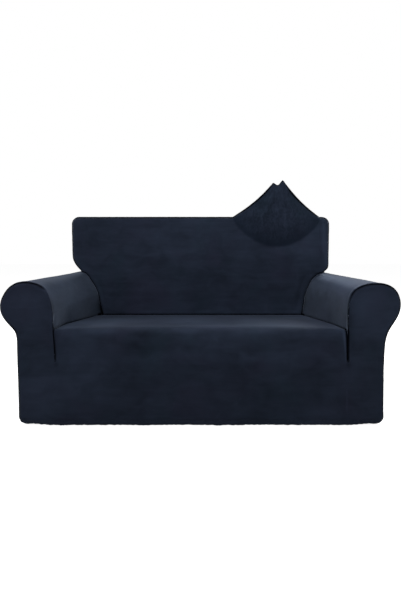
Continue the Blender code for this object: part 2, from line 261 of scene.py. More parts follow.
def fill(
    bottom: np.ndarray, top: np.ndarray, left: np.ndarray, right: np.ndarray, power: float
) -> np.ndarray:
    """Rows of points that fill four sides.

    Args:
        bottom: the straight bottom, from left to right.
        top: the top, from left to right.
        left: the left side, upwards.
        right: the right side, upwards.
        power: how fast the top's curve fades out below it.

    Returns:
        The rows, from bottom to top.
    """
    along = ((shares(bottom) + shares(top)) / 2)[None, :, None]
    up = ((shares(left) + shares(right)) / 2)[:, None, None]
    rows = (1 - along) * left[:, None] + along * right[:, None]
    points = rows + up**power * (top[None] - rows[-1:])
    points[0], points[-1] = bottom, top
    return points


def placed(name: str, data: bpy.types.ID) -> bpy.types.Object:
    """Puts something into the scene.

    Args:
        name: its name.
        data: its mesh, camera or light.

    Returns:
        Its object, at the origin.
    """
    made = bpy.data.objects.new(name, data)
    bpy.context.scene.collection.objects.link(made)
    return made


def finished(holder: bpy.types.Object) -> bpy.types.Mesh:
    """Turns an object into a plain mesh, and takes the object away.

    Args:
        holder: the object, with its modifiers.

    Returns:
        Its mesh as the modifiers leave it.
    """
    graph = bpy.context.evaluated_depsgraph_get()
    mesh = bpy.data.meshes.new_from_object(holder.evaluated_get(graph))
    bpy.data.objects.remove(holder)
    return mesh


# The cover's parts --------------------------------------------------------------------------------
@dataclass(frozen=True)
class Seat:
    """The seat and the front below it."""

    depth: float = 0.600  # front plane to the crease at the back
    nose_depth: float = 0.032  # the rounding along the seat's front edge beside an arm
    nose_soft: float = 0.066  # how much deeper it is between the arms
    nose_spread: int = 5  # how near to the arms it stays that deep
    nose_lean: float = 0.010  # the part of that depth which comes from leaning back
    nose_foot: float = 0.262  # where the front starts to lean back, above the hem
    front_height: float = 0.387
    rear_height: float = 0.341
    crown: float = 0.008
    half_foot_left: float = 0.592  # half width between the arms where the short seams end
    half_foot_right: float = 0.602
    nose_rows: int = 8
    deck_rows: int = 17
    seam_row: float = 0.010  # a row this far from the seam at the back
    last_row: float = 0.030  # the last of the even rows is this far from it

    def profile(self, softer: float = 0.0) -> np.ndarray:
        """Points of y and z up the rounded front edge and then to the rear.

        Args:
            softer: 0 beside an arm, 1 where the edge is roundest.

        Returns:
            The points.
        """
        nose = self.nose_depth + self.nose_soft * softer
        lean = self.nose_lean * (1 + softer)
        angles = np.radians(np.linspace(0, 90, self.nose_rows))
        up, back = np.sin(angles), 1 - np.cos(angles)
        nose_y = lean * up + (nose - lean) * back
        nose_z = self.nose_foot + (self.front_height - self.nose_foot) * up
        last = self.depth - self.last_row
        deck_y = np.linspace(nose, last, self.deck_rows + 1)[1:]
        deck_y = np.append(deck_y, [self.depth - self.seam_row, self.depth])
        share = (deck_y - nose) / (self.depth - nose)
        deck_z = self.front_height + (self.rear_height - self.front_height) * share
        return np.column_stack([np.append(nose_y, deck_y), np.append(nose_z, deck_z)])

    def half_foot(self, side: Side) -> float:
        """How far out the short seam at the seat's front corner ends, with its sign."""
        return side.value * (self.half_foot_left if side is Side.LEFT else self.half_foot_right)

    def crease(self, side: Side) -> np.ndarray:
        """The crease between the seat and an arm.

        Args:
            side: the arm's side.

        Returns:
            Its points, from front to rear.
        """
        y, z = self.profile().T
        depths, left, right = np.array(CREASE_SECTION).T
        x = side.value * np.interp(y, depths, left if side is Side.LEFT else right)
        up = (z[: self.nose_rows] - self.nose_foot) / (self.front_height - self.nose_foot)
        foot = self.half_foot(side)
        x[: self.nose_rows] = foot + (x[self.nose_rows] - foot) * up**2
        return np.column_stack([x, y, z])

    def rise(self, y: float, across: np.ndarray) -> np.ndarray:
        """How much fuller the seat is than beside the arms; across is 0 in the middle, 1 there."""
        share = max(0.0, (y - self.nose_depth) / (self.depth - self.nose_depth))
        return self.crown * (1 - across**2) * math.sin(math.pi * share)

    def rows(self, across: np.ndarray) -> list[np.ndarray]:
        """Rows from the hem over the nose to the crease at the back.

        Args:
            across: the places of the columns, from 0 to 1.

        Returns:
            A row of points for each height and depth.
        """
        aside = 2 * across - 1
        rows = []
        left, right = (self.half_foot(side) for side in Side)
        for z in HEM_ROWS + APRON_ROWS:
            level = np.full_like(aside, z)
            rows.append(np.column_stack([left + (right - left) * across, 0 * aside, level]))
        softened = self.profile(1.0) - self.profile()
        between = (1 - np.abs(aside) ** self.nose_spread)[:, None]
        creases = zip(self.crease(Side.LEFT), self.crease(Side.RIGHT), softened)
        for start, end, softer in creases:
            row = start + (end - start) * across[:, None]
            row[:, 2] += self.rise(start[1], aside)
            row[:, 1:] += softer * between
            rows.append(row)
        return rows


@dataclass(frozen=True)
class Arm:
    """An arm with its roll, its inner face and its outer side."""

    side: Side
    seat: Seat
    front_round: float = 0.009  # radius round the scroll front
    inner_round: float = 0.004  # the same on the inner face
    round_fade: float = 0.7  # how fast the one becomes the other
    front_angles: tuple = (45, 65, 90)  # the arm's rows on that rounding, in degrees
    past_nose: float = 0.002  # its rows beside the seat's nose end this far behind it
    bow: float = 0.016  # how far its inner face is pushed out halfway to the back
    stem_rows: int = 12
    arc_fade: int = 2  # how fast the roll's arc fades out in the rows down the scroll front
    inner_shares: tuple = (0.0, 0.06, 0.18, 0.32, 0.46, 0.60, 0.74, 0.87)

    def rows(self, depth: float = 0.0) -> np.ndarray:
        """The arm's section.

        Args:
            depth: how far to the rear it is taken, because the roll leans out and sinks there.

        Returns:
            Rows of x and z from the inner face over the roll to the hem.
        """
        table = section(ARM_SECTION, self.side)
        foot = table[-1][0]
        stem = resampled(np.vstack([table[NECK:], [(foot, HEM_ROWS[-1])]]), self.stem_rows + 2)
        hem = [(foot, z) for z in reversed(HEM_ROWS)]
        rows = np.vstack([table[: NECK + 1], stem[1:-1], hem])
        far = min(1, depth / self.seat.depth)
        lean = section(tuple((left, 0, right, 0) for left, right in LEAN_AT_BACK), self.side)[:, 0]
        bow = self.side.value * self.bow * math.sin(math.pi * far)
        rows[: CROWN + 1, 0] += lean * far**2 + bow * np.linspace(1, 0, CROWN + 1)
        above_neck = np.clip((rows[:, 1] - rows[NECK, 1]) / (rows[CROWN, 1] - rows[NECK, 1]), 0, 1)
        rows[:, 1] -= DROP_AT_BACK[self.side.value] * far * above_neck
        return rows

    def roundings(self) -> np.ndarray:
        """The radius round the scroll front for each of those rows."""
        softer = np.clip(1 - np.arange(len(self.rows())) / CROWN, 0, 1)
        return self.front_round + (self.inner_round - self.front_round) * softer**self.round_fade

    def moved_in(self, amounts: np.ndarray | float, depth: float = 0.0) -> np.ndarray:
        """Those rows moved in, with the hem kept low.

        Args:
            amounts: how far each row moves in.
            depth: how far to the rear they lie.

        Returns:
            Rows of x and z.
        """
        rows = self.rows(depth)
        moved = inset(rows, np.broadcast_to(-self.side.value * np.asarray(amounts), len(rows)))
        moved[-len(HEM_ROWS):, 1] = HEM_ROWS[::-1]
        return moved

    def straight(self, depths: np.ndarray | float) -> tuple:
        """The insets and the depths of rows that aren't moved in."""
        insets = np.zeros(len(self.rows()))
        return insets, insets + depths

    def column(self, place: tuple) -> np.ndarray:
        """Points from the inner face over the roll to the hem, at insets and depths."""
        amounts, depths = place
        return on_plane(self.moved_in(amounts, depths[-1]), depths)

    def inner_face(self, top: np.ndarray, foot: np.ndarray) -> np.ndarray:
        """The straight rows below the roll, from the crease up, without the top one."""
        return foot + (top - foot) * np.array(self.inner_shares)[:, None]

    def front_edge(self, degrees: float) -> np.ndarray:
        """Points round the scroll front, from the seat's nose over the roll to the hem.

        Args:
            degrees: where on the rounding: 0 is the flat front, 90 the arm's side.

        Returns:
            The points.
        """
        rows = self.column(round_over(self.roundings(), degrees))
        return np.vstack([self.inner_face(rows[0], self.seat.crease(self.side)[0]), rows])

    def on_back(self, back: "Back", ahead: float = 0.0) -> np.ndarray:
        """The inner rows where they meet the back's face, from the crease to the crown.

        Args:
            back: the back that they meet.
            ahead: how far in front of the back's face they lie.

        Returns:
            The points, from the crease up.
        """
        roll = self.moved_in(0.0, self.seat.depth)[: CROWN + 1]
        points = on_plane(roll, back.face_depth(roll[:, 1]) - ahead)
        foot = self.seat.crease(self.side)[-1 if ahead == 0 else -2]
        return np.vstack([self.inner_face(points[0], foot), points])

    def build(self, skin: "Skin", back: "Back") -> None:
        """Adds the arm's panel to the skin.

        Args:
            skin: the skin to add to.
            back: the back that the arm meets.
        """
        panel = Panel.LEFT_ARM if self.side is Side.LEFT else Panel.RIGHT_ARM
        crease = self.seat.crease(self.side)
        radii = self.roundings()
        places = [round_over(radii, angle) for angle in self.front_angles]
        behind = self.seat.nose_rows - len(places)
        nose_end = self.seat.nose_depth + self.past_nose
        for share in np.arange(1, behind + 1) / behind:
            places.append(self.straight(radii + (nose_end - radii) * share))
        places += [self.straight(depth) for depth in crease[self.seat.nose_rows : -2, 1]]

        inside = []
        for place, foot in zip(places, crease):
            rows = self.column(place)[: CROWN + 1]
            inside.append(np.vstack([self.inner_face(rows[0], foot), rows]))
        inside += [self.on_back(back, self.seat.seam_row), self.on_back(back)]
        skin.grid(panel, inside)

        crown_depth = back.face_depth(self.rows(self.seat.depth)[CROWN][1])
        depths = [crown_depth - self.seat.seam_row, *back.side_depths(crown_depth)[:-1]]
        places += [self.straight(depth) for depth in depths]
        outside = [self.column(place)[CROWN:] for place in places]
        for angle in (90, *back.rear_angles[:2]):
            amount, depth = round_over(back.rear_round, angle)
            rows = back.rear_outline(self.side, amount)[: len(outside[0])][::-1]
            outside.append(on_plane(rows, back.rear - depth))
        skin.grid(panel, outside)

    def build_front(self, skin: "Skin") -> None:
        """Adds the scroll front, which is one cloth with the seat's front.

        Args:
            skin: the skin to add to.
        """
        flat = self.front_edge(0)
        skin.grid(Panel.SEAT_FRONT, [self.front_edge(self.front_angles[0]), flat])
        inner_count = len(self.inner_shares) + SCROLL_INNER + 1
        outer_start = len(self.inner_shares) + SCROLL_OUTER
        below = [(self.seat.half_foot(self.side), 0.0, z) for z in HEM_ROWS + APRON_ROWS]
        inner = np.vstack([below, flat[:inner_count]])
        arc = flat[inner_count - 1 : outer_start + 1]
        outer = flat[outer_start:][::-1]
        hem = inner[0] + (outer[0] - inner[0]) * shares(arc)[:, None]
        skin.grid(Panel.SEAT_FRONT, fill(hem, arc, inner, outer, self.arc_fade))


@dataclass(frozen=True)
class Back:
    """The back: its face between the arms, the strip over its top and sides, and the rear."""

    seat: Seat
    arms: dict
    top: float = 0.914
    rear: float = 0.860  # the rear plane
    top_front: float = 0.720  # how far the face leans to the rear at its top
    bulge: float = 0.010
    edge_round: float = 0.035  # radius along the face's edge
    edge_fade: float = 0.090  # how far from the arms it reaches that
    seam_angle: float = 50.0  # where the seam lies on that rounding
    rear_round: float = 0.018
    tuck_share: float = 0.3  # how much of that is left where the wing stands on the arm
    tuck_reach: float = 0.12
    corner: float = 0.043  # radius of the two upper corners
    half_top: float = 0.784  # half width where a corner starts
    peak_zone: float = 0.160  # the columns are closer from here to the right
    columns: tuple = (22, 19)  # how many there are before it and after it
    wing_rows: int = 8
    side_rows: int = 2
    top_fade: int = 8  # how fast the top's curve fades out in the rows below it
    # angles of the rows and columns: up a corner, over it, and on the roundings of face and rear
    wing_angles: tuple = (11.25, 22.5, 33.75, 45)
    top_angles: tuple = (45, 49, 56, 67.5, 79, 90)
    face_angles: tuple = (0, 17, 32, 43)
    strip_angles: tuple = (60, 73)
    rear_angles: tuple = (60, 45, 22.5, 0)

    @property
    def corner_foot(self) -> float:
        """The height at which an upper corner starts."""
        return self.top - self.corner

    def face_depth(self, z: float | np.ndarray) -> float | np.ndarray:
        """How far to the rear the back's face lies at a height."""
        share = (z - self.seat.rear_height) / (self.top - self.seat.rear_height)
        return self.seat.depth + (self.top_front - self.seat.depth) * share

    def side_depths(self, start: float) -> np.ndarray:
        """Depths of the rows from the face's edge to the rear's rounding."""
        return np.linspace(start, self.rear - self.rear_round, self.side_rows + 1)

    def corner_point(self, side: Side, degrees: float) -> tuple[float, float]:
        """A point on an upper corner.

        Args:
            side: the corner's side.
            degrees: 0 is where its side ends and 90 where its top starts.

        Returns:
            Its x and z.
        """
        angle = math.radians(degrees)
        x = self.half_top - self.corner + self.corner * math.cos(angle)
        return side.value * x, self.corner_foot + self.corner * math.sin(angle)

    def wing(self, side: Side) -> np.ndarray:
        """The back's side above an arm.

        Args:
            side: the side.

        Returns:
            Rows of x and z from the arm's crown to the middle of the upper corner.
        """
        crown = self.arms[side].rows(self.seat.depth)[CROWN]
        low = np.vstack([crown, section(WING_SECTION, side)])
        foot = np.array([side.value * self.half_top, self.corner_foot])
        steps = np.arange(1, self.wing_rows + 1)[:, None] / self.wing_rows
        corner = [self.corner_point(side, angle) for angle in self.wing_angles]
        return np.vstack([low, low[-1] + (foot - low[-1]) * steps, corner])

    def top_line(self) -> np.ndarray:
        """The line along the top.

        Returns:
            Points of x and z from the middle of the left corner to that of the right one.
        """
        left = [self.corner_point(Side.LEFT, angle) for angle in self.top_angles]
        right = [self.corner_point(Side.RIGHT, angle) for angle in reversed(self.top_angles)]
        before, after = self.columns
        columns = list(np.linspace(left[-1][0], self.peak_zone, before + 1)[1:])
        columns += list(np.linspace(self.peak_zone, right[0][0], after + 2)[1:-1])
        return np.array(left + [(x, self.top) for x in columns] + right)

    def outline(self) -> np.ndarray:
        """The outline above the arms, from the left crown over the top to the right crown."""
        return np.vstack([self.wing(Side.LEFT), self.top_line()[1:-1], self.wing(Side.RIGHT)[::-1]])

    def edge(self, degrees: float) -> np.ndarray:
        """The outline on the rounding along the face's edge, which runs out at the arms.

        Args:
            degrees: where on the rounding: 0 is the face, 90 the strip.

        Returns:
            Its points, in the outline's order.
        """
        outline = self.outline()
        start = distances(outline)
        fade = np.minimum(1, np.minimum(start, start[-1] - start) / self.edge_fade)
        amount, depth = round_over(self.edge_round, degrees)
        moved = inset(outline, -amount * fade)
        return on_plane(moved, self.face_depth(moved[:, 1]) + depth * fade)

    def rear_outline(self, side: Side, amount: float) -> np.ndarray:
        """One side of the rear's outline, from the hem up to the middle of the upper corner.

        Args:
            side: the side.
            amount: how far the outline is moved in, less where the wing stands on the arm.

        Returns:
            Rows of x and z.
        """
        arm_rows = self.arms[side].rows(self.seat.depth)[CROWN:][::-1]
        beyond = self.corner_point(side, self.top_angles[1])
        rows = np.vstack([arm_rows, self.wing(side)[1:], [beyond]])
        along = distances(rows)
        from_tuck = np.abs(along - along[len(arm_rows) - 1])
        growth = np.minimum(1, self.tuck_share + from_tuck / self.tuck_reach)
        moved = inset(rows, side.value * amount * growth)[:-1]
        moved[: len(HEM_ROWS), 1] = HEM_ROWS
        return moved

    def rear_top(self, amount: float) -> np.ndarray:
        """The top line, moved in.

        Args:
            amount: how far it is moved in.

        Returns:
            Points of x and z.
        """
        start, end = (self.corner_point(side, self.wing_angles[-2]) for side in Side)
        around = [start, *self.top_line(), end]
        return inset(around, np.full(len(around), -amount))[1:-1]

    def rear_above_arms(self, amount: float) -> np.ndarray:
        """The rear's outline above the arms, moved in.

        Args:
            amount: how far it is moved in.

        Returns:
            Points of x and z, from the left crown to the right one.
        """
        arm_rows = len(self.arms[Side.LEFT].rows()) - CROWN
        left, right = (self.rear_outline(side, amount)[arm_rows - 1 :] for side in Side)
        return np.vstack([left, self.rear_top(amount)[1:-1], right[::-1]])

    def seat_line(self) -> np.ndarray:
        """The crease between seat and back, from left to right."""
        left, right = (self.seat.crease(side)[-1] for side in Side)
        return left + (right - left) * shares(self.top_line())[:, None]

    def build(self, skin: "Skin") -> None:
        """Adds the face, the strip and the rear to the skin.

        Args:
            skin: the skin to add to.
        """
        count = len(self.wing(Side.LEFT))
        edge = self.edge(0)
        left = np.vstack([self.arms[Side.LEFT].on_back(self), edge[1:count]])
        right = np.vstack([self.arms[Side.RIGHT].on_back(self), edge[::-1][1:count]])
        top = edge[count - 1 : len(edge) - count + 1]
        face = fill(self.seat_line(), top, left, right, self.top_fade)
        up, across = (np.sin(np.pi * np.linspace(0, 1, size)) ** 2 for size in face.shape[:2])
        face[..., 1] -= self.bulge * up[:, None] * across[None, :]
        skin.grid(Panel.INSIDE_BACK, face)
        angles = (*self.face_angles, self.seam_angle)
        skin.grid(Panel.INSIDE_BACK, [self.edge(angle) for angle in angles])
        self.build_strip(skin)
        self.build_rear(skin)

    def build_strip(self, skin: "Skin") -> None:
        """Adds the strip over the top and the sides, from the seam to the rear.

        Args:
            skin: the skin to add to.
        """
        strip = [self.edge(angle) for angle in (self.seam_angle, *self.strip_angles, 90)]
        side_depth = strip[-1][:, 1]
        for share in np.linspace(0, 1, self.side_rows + 1)[1:-1]:
            depth = side_depth + (self.rear - self.rear_round - side_depth) * share
            strip.append(on_plane(self.outline(), depth))
        strip.append(on_plane(self.rear_above_arms(0.0), self.rear - self.rear_round))
        for angle in self.rear_angles:
            amount, depth = round_over(self.rear_round, angle)
            strip.append(on_plane(self.rear_above_arms(amount), self.rear - depth))
        skin.grid(Panel.OUTSIDE_BACK, strip)

    def build_rear(self, skin: "Skin") -> None:
        """Adds the rear and its rounding beside the arms.

        Args:
            skin: the skin to add to.
        """
        for side in Side:
            ends = []
            for angle in self.rear_angles[1:]:
                amount, depth = round_over(self.rear_round, angle)
                rows = self.rear_outline(side, amount)[: len(self.arms[side].rows()) - CROWN]
                ends.append(on_plane(rows, self.rear - depth))
            skin.grid(Panel.OUTSIDE_BACK, ends)
        left, right = (on_plane(self.rear_outline(side, self.rear_round), self.rear) for side in Side)
        top = on_plane(self.rear_top(self.rear_round), self.rear)
        hem = left[0] + (right[0] - left[0]) * shares(top)[:, None]
        skin.grid(Panel.OUTSIDE_BACK, fill(hem, top, left, right, self.top_fade))


# The skin -----------------------------------------------------------------------------------------
class Skin:
    """The cover's outer face as quads that share their points, each marked with its panel."""

    weld = 0.00002  # points closer than this are one
    hem_edge = 0.001  # open edges lie below this height

    def __init__(self) -> None:
        """Starts an empty skin."""
        self.mesh = bmesh.new()

    def grid(self, panel: Panel, points: list) -> None:
        """Adds rows of points as quads.

        Args:
            panel: the panel that the quads belong to.
            points: rows with equal numbers of points.
        """
        assert len({len(row) for row in points}) == 1, panel
        verts = [[self.mesh.verts.new(point) for point in row] for row in points]
        for low, high in zip(verts, verts[1:]):
            for corners in zip(low, low[1:], high[1:], high):
                self.mesh.faces.new(corners).material_index = panel.number

    def rounded(self, levels: int) -> bpy.types.Mesh:
        """Joins the grids and rounds them by subdivision, sharp along the seams.

        Args:
            levels: how often each quad is split.

        Returns:
            The fine mesh, whose material index still tells the panels apart.
        """
        bmesh.ops.remove_doubles(self.mesh, verts=self.mesh.verts[:], dist=self.weld)
        faces = self.mesh.faces
        bmesh.ops.recalc_face_normals(self.mesh, faces=faces[:])
        foremost = min(faces, key=lambda face: face.calc_center_median().y)
        if foremost.normal.y > 0:
            bmesh.ops.reverse_faces(self.mesh, faces=faces[:])
        sharp = self.mesh.edges.layers.float.new("crease_edge")
        loose = 0
        for edge in self.mesh.edges:
            if len({face.material_index for face in edge.link_faces}) > 1:
                edge[sharp] = 1.0
            loose += len(edge.link_faces) != 2 and max(v.co.z for v in edge.verts) > self.hem_edge
        log.info("skin: %d quads, %d open edges above the hem", len(faces), loose)
        mesh = bpy.data.meshes.new("skin")
        self.mesh.to_mesh(mesh)
        self.mesh.free()
        for _ in Panel:
            mesh.materials.append(None)
        holder = placed("skin", mesh)
        smooth = holder.modifiers.new("smooth", "SUBSURF")
        smooth.levels = smooth.render_levels = levels
        smooth.boundary_smooth = "PRESERVE_CORNERS"
        return finished(holder)


@dataclass(frozen=True)
class Peak:
    """The point of the back's top that is pulled up and forward."""

    left: float = 0.4215  # the two ends of the pinch
    right: float = 0.4820
    rise: float = 0.2085
    forward: float = 0.080
    tilt: float = 0.281  # its right end stands higher than its left
    dip: float = 0.022  # how far the cloth sags between the two ends
    reach_left: float = 0.2285
    reach_right: float = 0.2454
    reach_down: float = 0.177
    reach_rear: float = 0.150
    lens: float = 1.50  # the pulled cloth's outline: 1 is a triangle, 2 an ellipse
    hollow: float = 0.265  # how hollow its sides are: 0 is straight, 1 is a cube's curve
    sag_power: int = 6  # how near to the pinch the cloth sags
    flat_depth: float = 0.0125  # what the rounding below the seam takes up, which is pulled flat
    flat_from: float = 1.2  # it is flattened from this many of its radii below the top
    flat_gain: float = 1.6  # and is flat well before the pinch
    seam_z: float = 0.906
    seam_y: float = 0.7305

    def away(self, places: np.ndarray) -> np.ndarray:
        """How far points are from the pinch.

        Args:
            places: the points.

        Returns:
            For each of them 0 at the pinch and 1 where the pull ends.
        """
        aside = places[:, 0] - np.clip(places[:, 0], self.left, self.right)
        across = np.where(aside < 0, self.reach_left, self.reach_right)
        behind = places[:, 1] - self.seam_y
        down = np.maximum(self.seam_z - places[:, 2], 0)
        path = np.where(behind > 0, behind + down, down)
        reach = np.where(behind > 0, self.reach_rear, self.reach_down)
        return (np.abs(aside / across) ** self.lens + (path / reach) ** self.lens) ** (1 / self.lens)

    def pull(self, places: np.ndarray, back: Back) -> np.ndarray:
        """Moves the points of the back's top.

        Args:
            places: the skin's points, which are changed.
            back: the back as it stands without the pull.

        Returns:
            How much each point belongs to the pulled cloth, from 0 to 1.
        """
        near = np.clip(1 - self.away(places), 0, 1)
        pinch = np.clip(places[:, 0], self.left, self.right)
        across = (pinch - self.left) / (self.right - self.left)
        height = self.rise + self.tilt * (pinch - (self.left + self.right) / 2)
        sag = self.dip * np.sin(np.pi * across) ** 2 * near**self.sag_power
        beyond = np.clip(places[:, 1] - back.face_depth(places[:, 2]), 0, self.flat_depth)
        beyond[places[:, 2] < back.top - back.edge_round * self.flat_from] = 0
        pulled_flat = np.minimum(1, self.flat_gain * near * near * (3 - 2 * near) ** 0.5)
        places[:, 2] += height * ((1 - self.hollow) * near + self.hollow * near**3) - sag
        places[:, 1] -= self.forward * near + beyond * pulled_flat
        return near


@dataclass(frozen=True)
class Hem:
    """The elastic hem, which is drawn in under the cover."""

    height: float = 0.020
    turn: float = 0.014
    corner_growth: float = 0.016  # both are this much more at the cover's corners
    rear: float = 0.860
    straight: float = 0.609  # the front and the rear keep their width up to here
    corner_width: float = 0.1  # over which the corners grow to that
    stitched_at: float = 0.022  # the row of stitches that holds the elastic
    dent: float = 0.0016
    dent_width: float = 0.005
    gathers: float = 0.0022
    gather_size: float = 0.012
    gather_length: float = 6.0  # in widths of a gather
    gather_reach: float = 0.03  # how far above the stitches they run out
    cast_side: float = 1.0  # the stitch line is found from a rectangle round the cover
    cast_gap: float = 0.2

    def heights(self, places: np.ndarray) -> np.ndarray:
        """How far the cloth stands out at the hem: a dent at the stitches and gathers around it.

        Args:
            places: the skin's points.

        Returns:
            The height over the plain skin, for each point.
        """
        above = places[:, 2] - self.stitched_at
        heights = -self.dent * np.exp(-((above / self.dent_width) ** 2))
        widths = np.array([1, 1, self.gather_length]) * self.gather_size
        for index in np.nonzero(above < self.gather_reach)[0]:
            share = min(1.0, 1 - above[index] / self.gather_reach)
            heights[index] += self.gathers * noise.noise(Vector(places[index] / widths)) * share**2
        return heights

    def stitch_line(self, skin: "FineSkin", step: float = 0.006) -> np.ndarray:
        """The closed line round the cover along which the hem is stitched.

        Args:
            skin: the skin that it lies on.
            step: the spacing of its points.

        Returns:
            Its points.
        """
        tree = BVHTree.FromPolygons(skin.places.tolist(), skin.corners.tolist())
        centre = Vector((0, self.rear / 2, self.stitched_at))
        side, front, rear = self.cast_side, -self.cast_gap, self.rear + self.cast_gap
        corners = [(-side, front), (side, front), (side, rear), (-side, rear), (-side, front)]
        line = []
        for start, end in zip(corners, corners[1:]):
            start, end = (Vector((*corner, self.stitched_at)) for corner in (start, end))
            count = round((end - start).length / step)
            for index in range(count):
                outside = start.lerp(end, index / count)
                hit = tree.ray_cast(outside, (centre - outside).normalized())[0]
                if hit is not None:
                    line.append(hit)
        return np.array(line)

    def draw_in(self, places: np.ndarray) -> None:
        """Moves the points near the hem towards the middle, on a quarter of an ellipse.

        Args:
            places: the skin's points, which are changed.
        """
        half_width = np.abs(places[:, 0])
        corner = np.clip((half_width - self.straight) / self.corner_width, 0, 1)
        growth = self.corner_growth * corner
        low = np.clip(1 - places[:, 2] / (self.height + growth), 0, 1)
        draw = (self.turn + growth) * (1 - np.sqrt(1 - low**2))
        places[:, 0] *= 1 - draw / np.maximum(half_width, self.straight) * corner
        places[:, 1] -= (places[:, 1] - self.rear / 2) * draw * 2 / self.rear


@dataclass(frozen=True)
class Seam:
    """A plain seam: the cloth dips into it and is a little fuller beside it."""

    depth: float = 0.0050
    width: float = 0.0034
    fullness: float = 0.0012
    full_at: float = 0.013
    full_width: float = 0.008
    pucker: float = 0.0007
    pucker_size: float = 0.016
    pucker_from: float = 0.02  # it has no pucker where less than this share of its fullness is left
    seam_shadow: float = 0.0040  # how far from the seam the faces take the painted seam shadow
    hidden_away: float = 0.012  # a hidden seam looks this much farther away
    short_x: float = 0.600  # the short seams at the seat's front corners are shallow
    short_top: float = 0.430
    short_reach: float = 0.05
    short_fade: float = 0.02
    short_share: float = 0.3

    def profile(self, away: np.ndarray, places: np.ndarray) -> np.ndarray:
        """How far the cloth stands out near a seam.

        Args:
            away: each point's distance to the nearest seam.
            places: the points.

        Returns:
            The height over the plain skin, for each point.
        """
        x, y, z = np.abs(places[:, 0]), places[:, 1], places[:, 2]
        at_corner = np.clip((self.short_reach - np.abs(x - self.short_x)) / self.short_fade, 0, 1)
        at_corner *= np.clip((self.short_top - z) / self.short_reach, 0, 1)
        at_corner *= np.clip((self.short_reach - y) / self.short_fade, 0, 1)
        depth = self.depth * (1 - (1 - self.short_share) * at_corner)
        groove = -depth * np.exp(-((away / self.width) ** 2))
        beside = np.exp(-(((away - self.full_at) / self.full_width) ** 2))
        uneven = np.zeros(len(places))
        for index in np.nonzero(beside > self.pucker_from)[0]:
            uneven[index] = noise.noise(Vector(places[index] / self.pucker_size))
        return groove + beside * (self.fullness + self.pucker * uneven) * (1 - at_corner)


@dataclass(frozen=True)
class Fold:
    """A soft trough or ridge in one panel, along a given line."""

    panel: Panel
    view: View
    line: tuple  # its points in that view
    width: float
    height: float  # above 0 it is a ridge, below 0 a trough
    fade: float = 0.35  # the share of its length over which each end runs out
    spans: int = 24

    def heights(self, places: np.ndarray) -> np.ndarray:
        """How far the fold lifts points of its panel.

        Args:
            places: the points.

        Returns:
            The lift, for each point.
        """
        line = resampled(self.line, self.spans)
        flat = places[:, self.view.value]
        nearest = np.full(len(flat), np.inf)
        along = np.zeros(len(flat))
        for index, (start, end) in enumerate(zip(line, line[1:])):
            span = end - start
            share = np.clip((flat - start) @ span / (span @ span), 0, 1)
            away = np.linalg.norm(flat - start - share[:, None] * span, axis=1)
            closer = away < nearest
            nearest[closer] = away[closer]
            along[closer] = (index + share[closer]) / (len(line) - 1)
        ends = np.clip(np.minimum(along, 1 - along) / self.fade, 0, 1)
        return self.height * np.exp(-((nearest / self.width) ** 2)) * ends * (2 - ends)


@dataclass(frozen=True)
class Patch:
    """A patch that paints light into the pile's colour, and shade where its strength is below 0, with
    an uneven edge.
    """

    panel: Panel
    view: View
    centre: tuple
    size: tuple  # half its extent along its own two directions
    strength: float  # above 0 it is lighter
    turn: float = 0.0  # in degrees, anticlockwise in its view
    sharpness: float = 2.0
    raggedness: float = 0.35
    ragged_scale: float = 16.0  # how fine its edge's unevenness is
    ragged_layers: tuple = (1.0, 2.0, 3)  # each layer's fading and fineness, and how many there are
    reach: float = 2.5  # beyond this many of its sizes it has no strength left
    inner_side: float = 0.735  # placed from the side, it lies on the arms up to here alone

    def strengths(self, places: np.ndarray) -> np.ndarray:
        """How much lighter or darker the patch makes points of its panel.

        Args:
            places: the points.

        Returns:
            The change, for each point.
        """
        cosine, sine = math.cos(math.radians(self.turn)), math.sin(math.radians(self.turn))
        flat = places[:, self.view.value] - self.centre
        own = flat @ np.array([[cosine, -sine], [sine, cosine]]) / self.size
        radius = np.linalg.norm(own, axis=1)
        if self.view is View.SIDE:
            radius[np.abs(places[:, 0]) > self.inner_side] = np.inf
        for index in np.nonzero(radius < self.reach)[0]:
            ragged = noise.fractal(Vector(places[index]) * self.ragged_scale, *self.ragged_layers)
            radius[index] *= 1 + self.raggedness * ragged
        return self.strength * np.exp(-np.abs(radius) ** self.sharpness)


@dataclass(frozen=True)
class SeamShow:
    """A stretch where a seam's groove and painted shade show less, or where the painted shade beside
    it is widened into a darker band.
    """

    centre: tuple  # x and z
    size: tuple
    hidden: float = 1.0  # below 0 it shows more
    depths: tuple = (-0.1, 0.03)  # from front to rear
    panels: tuple = tuple(Panel)  # the cloths on whose side of the seam it lies
    depth_fade: float = 0.01
    soft_edge: float = 0.3  # the share of its size over which it runs out

    def shares(self, places: np.ndarray) -> np.ndarray:
        """How much the stretch hides the seam at points.

        Args:
            places: the points.

        Returns:
            The hidden share, for each point.
        """
        away = np.linalg.norm((places[:, (0, 2)] - self.centre) / np.array(self.size), axis=1)
        front, rear = self.depths
        inside = np.minimum(places[:, 1] - front, rear - places[:, 1])
        between = np.clip(inside / self.depth_fade, 0, 1)
        return self.hidden * between * np.clip((1 + self.soft_edge / 2 - away) / self.soft_edge, 0, 1)


